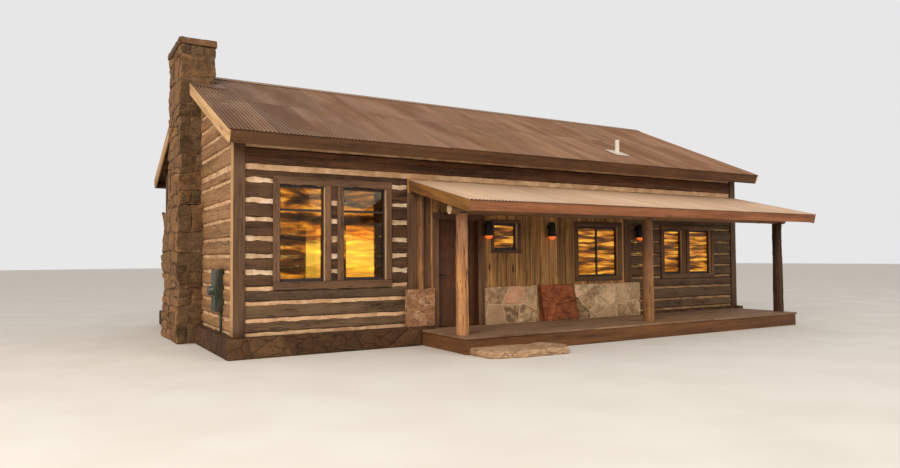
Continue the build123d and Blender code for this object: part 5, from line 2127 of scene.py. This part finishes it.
@dataclass
class EntryWall:
    """Rough upright boards of the entry wall, with its trim and stonework."""

    width: Point2 = (0.17, 0.3)
    gap: float = 0.012
    proud: Point2 = (0.004, 0.014)
    bed: float = 0.002
    least: Point2 = (0.012, 0.02)
    front_depth: float = 0.5
    board_how: Sawing = Sawing(chamfer=0.002, step=0.25, wave=0.003)
    trim: Weathering = Weathering(step=0.35, wander=0.004)
    slab: Weathering = Weathering(step=0.0, chamfer=0.006, wander=0.007, scale=7, cross_step=0.06)
    field_stone: Weathering = Weathering(step=0.09, chamfer=0.022, wander=0.022, scale=4.5, cross_step=0.05)
    flags: Flagging = Flagging(0.38, 1.25, 0.026, 0.016)
    pier_flags: Flagging = Flagging(0.23, 1.5, 0.009, 0.016, finish=2)

    def build(self) -> None:
        """Makes the boards, trim, stonework, the red split slab and the field stone before the porch."""
        for node in ("entry_wall_left", "entry_wall_over_door", "entry_wall_right"):
            # The wall behind the boards takes the near-black backing: painted shade in the gaps.
            dress(node, "wall_backing_painted_shade")
        self.boards()
        finishes = ("casing_lying", "casing_across", "casing_upright")
        weathered("entry_trim", "entry_trim_boards", Axis.Z, finishes, self.trim)
        weathered("window_trim", "window_casings", Axis.Z, finishes, self.trim)
        weathered("door_trim", "door_casing", Axis.Z, finishes, self.trim)
        self.stonework()
        weathered("red_split_slab", "red_stone_panel", Axis.X, "red_slab", self.slab)
        weathered("step_field_stone", "stone_step", Axis.X, "step_slab", self.field_stone)

    def boards(self) -> None:
        """Covers the wall with boards, a little proud of it and cut round the door and the windows."""
        low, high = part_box("entry_wall_left")[0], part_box("entry_wall_right")[1]
        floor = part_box("porch_boards")[1].z
        windows = [box for box in islands("window_frames") if box[0].y < self.front_depth]
        holes = [box for box in windows if low.x < box[0].x < high.x] + [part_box("door_frame")]
        rng = random.Random("entry boards")
        draft = Draft()
        edge = low.x
        while edge < high.x - self.least[1]:
            width = rng.uniform(*self.width)
            end = high.x if high.x - edge - width < self.width[0] else edge + width
            start = Vector((edge + self.gap / 2, low.y, floor))
            for a, b in self.cut(start, Vector((end - self.gap / 2, low.y, high.z)), holes):
                front, back = Vector((0, rng.uniform(*self.proud), 0)), Vector((0, self.bed, 0))
                add_bar(draft, a - front, b + back, Axis.Z, self.board_how, rng.uniform(-1, 1))
            edge = end
        draft.build("entry_boards", "wall_planks")

    def cut(self, low: Vector, high: Vector, holes: Sequence[Box]) -> list[Box]:
        """Parts of a board that no hole takes away."""
        parts = [(low, high)]
        for hole_low, hole_high in holes:
            left: list[Box] = []
            for a, b in parts:
                if a.x >= hole_high.x or b.x <= hole_low.x or a.z >= hole_high.z or b.z <= hole_low.z:
                    left.append((a, b))
                    continue
                x0, x1 = max(a.x, hole_low.x), min(b.x, hole_high.x)
                left += [
                    (a, Vector((x0, b.y, b.z))),
                    (Vector((x1, a.y, a.z)), b),
                    (Vector((x0, a.y, a.z)), Vector((x1, b.y, hole_low.z))),
                    (Vector((x0, a.y, hole_high.z)), Vector((x1, b.y, b.z))),
                ]
            parts = left
        return [(a, b) for a, b in parts if b.x - a.x > self.least[0] and b.z - a.z > self.least[1]]

    def stonework(self) -> None:
        """Pier and wainscots, faced with flags on every side that shows."""
        draft = Draft()
        rng = random.Random("stonework")
        pier, left, right = islands("entry_stonework")
        sides = (Side.FRONT, Side.LEFT, Side.RIGHT, Side.TOP)
        self.pier_flags.block(draft, *pier, sides, rng)
        self.flags.block(draft, *left, sides, rng)
        low, high = right
        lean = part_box("red_stone_panel")[1].x - low.x
        relief = self.flags.relief
        core = low + Vector((lean, relief, 0)), high - Vector((relief, 0, relief))
        add_bar(draft, *core, Axis.X, MORTAR_BED, finish=MORTAR)
        self.flags.face(draft, low, high, Side.FRONT, rng, max(0.0, lean))
        self.flags.face(draft, low, high, Side.RIGHT, rng)
        self.flags.face(draft, low, high, Side.TOP, rng)
        piece = draft.build("flag_stonework", "wainscot_flags", "wainscot_mortar", "pier_stone")
        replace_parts(piece, "entry_stonework")


@dataclass
class Openings:
    """Windows and the entry door."""

    lining: float = 0.016
    lining_how: Sawing = Sawing(wave=0.0)
    clearance: float = 0.002
    casing_depth: float = 0.3
    front_depth: float = 0.5
    least_reveal: float = 0.02

    def build(self) -> None:
        """Dresses frames, panes, leaf and ironwork."""
        dress("window_frames", "frame_bronze")
        dress("window_glass", "window_panes")
        dress("door_frame", "door_stained")
        dress("door_leaf", "door_stained")
        self.reveals()
        for node in ("door_handles", "hinge_pins", "hinge_knuckles"):
            dress(node, "iron_black")

    def reveals(self) -> None:
        """Pine boards that line the reveals before the front windows, over the logs' ends."""
        backs = [high.y for _, high in islands("window_casings") if high.y < self.casing_depth]
        face = sum(backs) / len(backs)
        draft = Draft()
        for low, high in islands("window_frames"):
            if low.y > self.front_depth or low.y - face < self.least_reveal:
                continue
            y = low.y - self.clearance
            for x0, x1 in ((low.x, low.x + self.lining), (high.x - self.lining, high.x)):
                start, end = Vector((x0, face, low.z)), Vector((x1, y, high.z))
                add_bar(draft, start, end, Axis.Z, self.lining_how)
        draft.build("window_reveals", "reveal_pine")


@dataclass
class Fittings:
    """Wall lamps and the meter box."""

    shade: tuple[Point2, ...] = ((0.86, 0.3), (0.78, 0.8), (0.62, 0.94), (0.2, 1.0))
    mouth: float = 0.8
    hollow: float = 0.02
    lip: float = 0.012
    tip: float = 0.001
    arm_height: float = 0.66
    arm_reach: float = 0.03
    arm_radius: float = 0.018
    plate_depth: float = 0.02
    plate: tuple[Point2, ...] = ((0.05, 0.0), (0.05, 0.012), (0.045, 0.018), (0.001, 0.018))
    globe_rings: int = 8
    box_how: Weathering = Weathering(chamfer=0.002, wander=0.0005)
    box_height: float = 0.5
    box_depth: float = 0.06

    def build(self) -> None:
        """Makes each lamp and its globe, and dresses the box."""
        draft = Draft()
        for low, high in islands("wall_lamps"):
            self.add_lamp(draft, low, high)
        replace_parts(draft.build("barn_lamps", "iron_black"), "wall_lamps")
        draft = Draft()
        for low, high in islands("lamp_globes"):
            radius, height = (high.x - low.x) / 2, high.z - low.z
            turns = [math.pi / 2 * i / self.globe_rings for i in range(1, self.globe_rings + 1)]
            profile = [(radius * math.sin(turn), height * (1 - math.cos(turn))) for turn in turns]
            add_turned(draft, [(self.tip, 0.0), *profile], middle_of(low, high, low.z))
        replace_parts(draft.build("amber_globes", "lamp_amber"), "lamp_globes")
        finishes = ("meter_enamel", "meter_grey")
        weathered("meter_and_pipe", "meter_box", Axis.Z, finishes, self.box_how, self.meter_part)

    def add_lamp(self, draft: Draft, low: Vector, high: Vector) -> None:
        """Adds a lamp: its shade, its arm and the plate on the wall."""
        radius, height = (high.x - low.x) / 2, high.z - low.z
        middle = Vector(((low.x + high.x) / 2, low.y + radius, low.z))
        rim = [(radius * self.mouth, self.hollow), (radius, 0.0), (radius, self.lip)]
        shade = [(radius * across, height * up) for across, up in self.shade]
        add_turned(draft, [*rim, *shade, (self.tip, height)], middle)
        arm_z = height * self.arm_height
        path = [middle + Vector((0, radius * 0.5 + reach, arm_z)) for reach in (0.0, self.arm_reach)]
        path.append(Vector((middle.x, high.y, low.z + arm_z)))
        add_pipe(draft, path, self.arm_radius)
        plate = Vector((middle.x, high.y - self.plate_depth, low.z + arm_z))
        add_turned(draft, self.plate, plate, Axis.Y)

    def meter_part(self, low: Vector, high: Vector) -> int:
        """0 for the tall box, 1 for the round meter and the pipe."""
        size = high - low
        return int(size.z < self.box_height or size.y < self.box_depth)


# Camera, light and floor

@dataclass(frozen=True)
class Lamp:
    """A soft square lamp: where it stands, its side, its power and its colour."""

    name: str
    place: tuple[float, float, float]
    size: float
    power: float
    colour: Colour


@dataclass
class Studio:
    """The photograph's view, a pale floor and plain soft light."""

    eye: tuple[float, float, float] = (-9.095, -11.558, 1.653)
    yaw: float = 30.83
    tilt: float = 1.948
    roll: float = -0.36
    focal_pixels: float = 684.0
    frame_pixels: float = 900.0
    sensor: float = 36.0
    sight: float = 500.0
    key: Lamp = Lamp("key", (-19, -13, 13), 9.0, 3000, (1.0, 0.93, 0.82))
    fill: Lamp = Lamp("fill", (9, -22, 10), 12.0, 1500, (1.0, 0.96, 0.92))
    aim: tuple[float, float, float] = (0, 2, 2)
    sky: Colour = (1.0, 0.97, 0.93)
    sky_strength: float = 0.62
    floor_reach: float = 120.0

    def build(self) -> None:
        """Makes camera, world, lamps and floor."""
        self.camera()
        self.world()
        self.lamp(self.key)
        self.lamp(self.fill)
        self.floor()
        bpy.context.scene.view_settings.view_transform = "Standard"

    def camera(self) -> None:
        """Camera at the photograph's place."""
        data = bpy.data.cameras.new("camera")
        data.sensor_width = self.sensor
        data.lens = self.focal_pixels / self.frame_pixels * self.sensor
        data.clip_end = self.sight
        camera = bpy.data.objects.new("camera", data)
        yaw, tilt, roll = (math.radians(value) for value in (self.yaw, self.tilt, self.roll))
        ahead = Vector((math.sin(yaw) * math.cos(tilt), math.cos(yaw) * math.cos(tilt), math.sin(tilt)))
        right = Vector((math.cos(yaw), -math.sin(yaw), 0))
        up = right.cross(ahead)
        rolled_right = right * math.cos(roll) + up * math.sin(roll)
        rolled_up = up * math.cos(roll) - right * math.sin(roll)
        turn = Matrix((rolled_right, rolled_up, -ahead)).transposed().to_4x4()
        camera.matrix_world = Matrix.Translation(self.eye) @ turn
        bpy.context.scene.collection.objects.link(camera)
        bpy.context.scene.camera = camera

    def world(self) -> None:
        """Soft even light, and white where the camera, gloss or glass looks past everything."""
        world = bpy.data.worlds.new("studio")
        bpy.context.scene.world = world
        world.use_nodes = True
        g = Graph(world.node_tree)
        soft = world.node_tree.nodes["Background"]
        soft.inputs["Color"].default_value = opaque(self.sky)
        soft.inputs["Strength"].default_value = self.sky_strength
        white = g.add("ShaderNodeBackground")
        white.inputs["Strength"].default_value = 1.0
        path = g.add("ShaderNodeLightPath").outputs
        seen = g.math("MAXIMUM", path["Is Camera Ray"], path["Is Glossy Ray"])
        seen = g.math("MAXIMUM", seen, path["Is Transmission Ray"])
        mix = g.add("ShaderNodeMixShader")
        for socket, value in zip(mix.inputs, (seen, soft.outputs[0], white.outputs[0])):
            g.feed(socket, value)
        g.feed(world.node_tree.nodes["World Output"].inputs[0], mix.outputs[0])

    def lamp(self, lamp: Lamp) -> None:
        """Sets up a lamp that looks at the house."""
        data = bpy.data.lights.new(lamp.name, "AREA")
        data.size = lamp.size
        data.energy = lamp.power
        data.color = lamp.colour
        light = bpy.data.objects.new(lamp.name, data)
        light.location = lamp.place
        towards = Vector(self.aim) - Vector(lamp.place)
        light.rotation_euler = towards.to_track_quat("-Z", "Y").to_euler()
        bpy.context.scene.collection.objects.link(light)

    def floor(self) -> None:
        """Pale floor that keeps the shadow."""
        reach = self.floor_reach
        corners = [(-reach, -reach, 0), (reach, -reach, 0), (reach, reach, 0), (-reach, reach, 0)]
        mesh = bpy.data.meshes.new("floor_plane")
        mesh.from_pydata(corners, [], [(0, 1, 2, 3)])
        s = Surface("studio_floor")
        g = s.graph
        colour = g.mix(g.band(g.noise(s.place, 0.8), 0.3, 0.7), srgb(226, 220, 212), srgb(232, 227, 220))
        mesh.materials.append(s.finish(colour, 0.9))
        plane = bpy.data.objects.new("studio_floor", mesh)
        bpy.context.scene.collection.objects.link(plane)
        plane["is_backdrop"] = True


def write_sizes() -> None:
    """Gathers the box of the CAD model and of the dressed model."""
    boxes = {"cad": cad_bounds, "visual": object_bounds()}
    rows = {name: [[float(v) for v in corner] for corner in box] for name, box in boxes.items()}


def main() -> None:
    """Builds every sub-assembly in order."""
    logging.basicConfig(level=logging.INFO, format="%(message)s")
    noise.seed_set(NOISE_SEED)
    make_finishes()
    Studio().build()
    walls = (LogWalls(), Base(), Chimney())
    roofs = (SheetRoof(), RoofTrim(), Porch())
    for part in (*walls, *roofs, EntryWall(), Openings(), Fittings()):
        log.info("building %s", type(part).__name__)
        part.build()
    write_sizes()


if __name__ == "__main__":
    main()
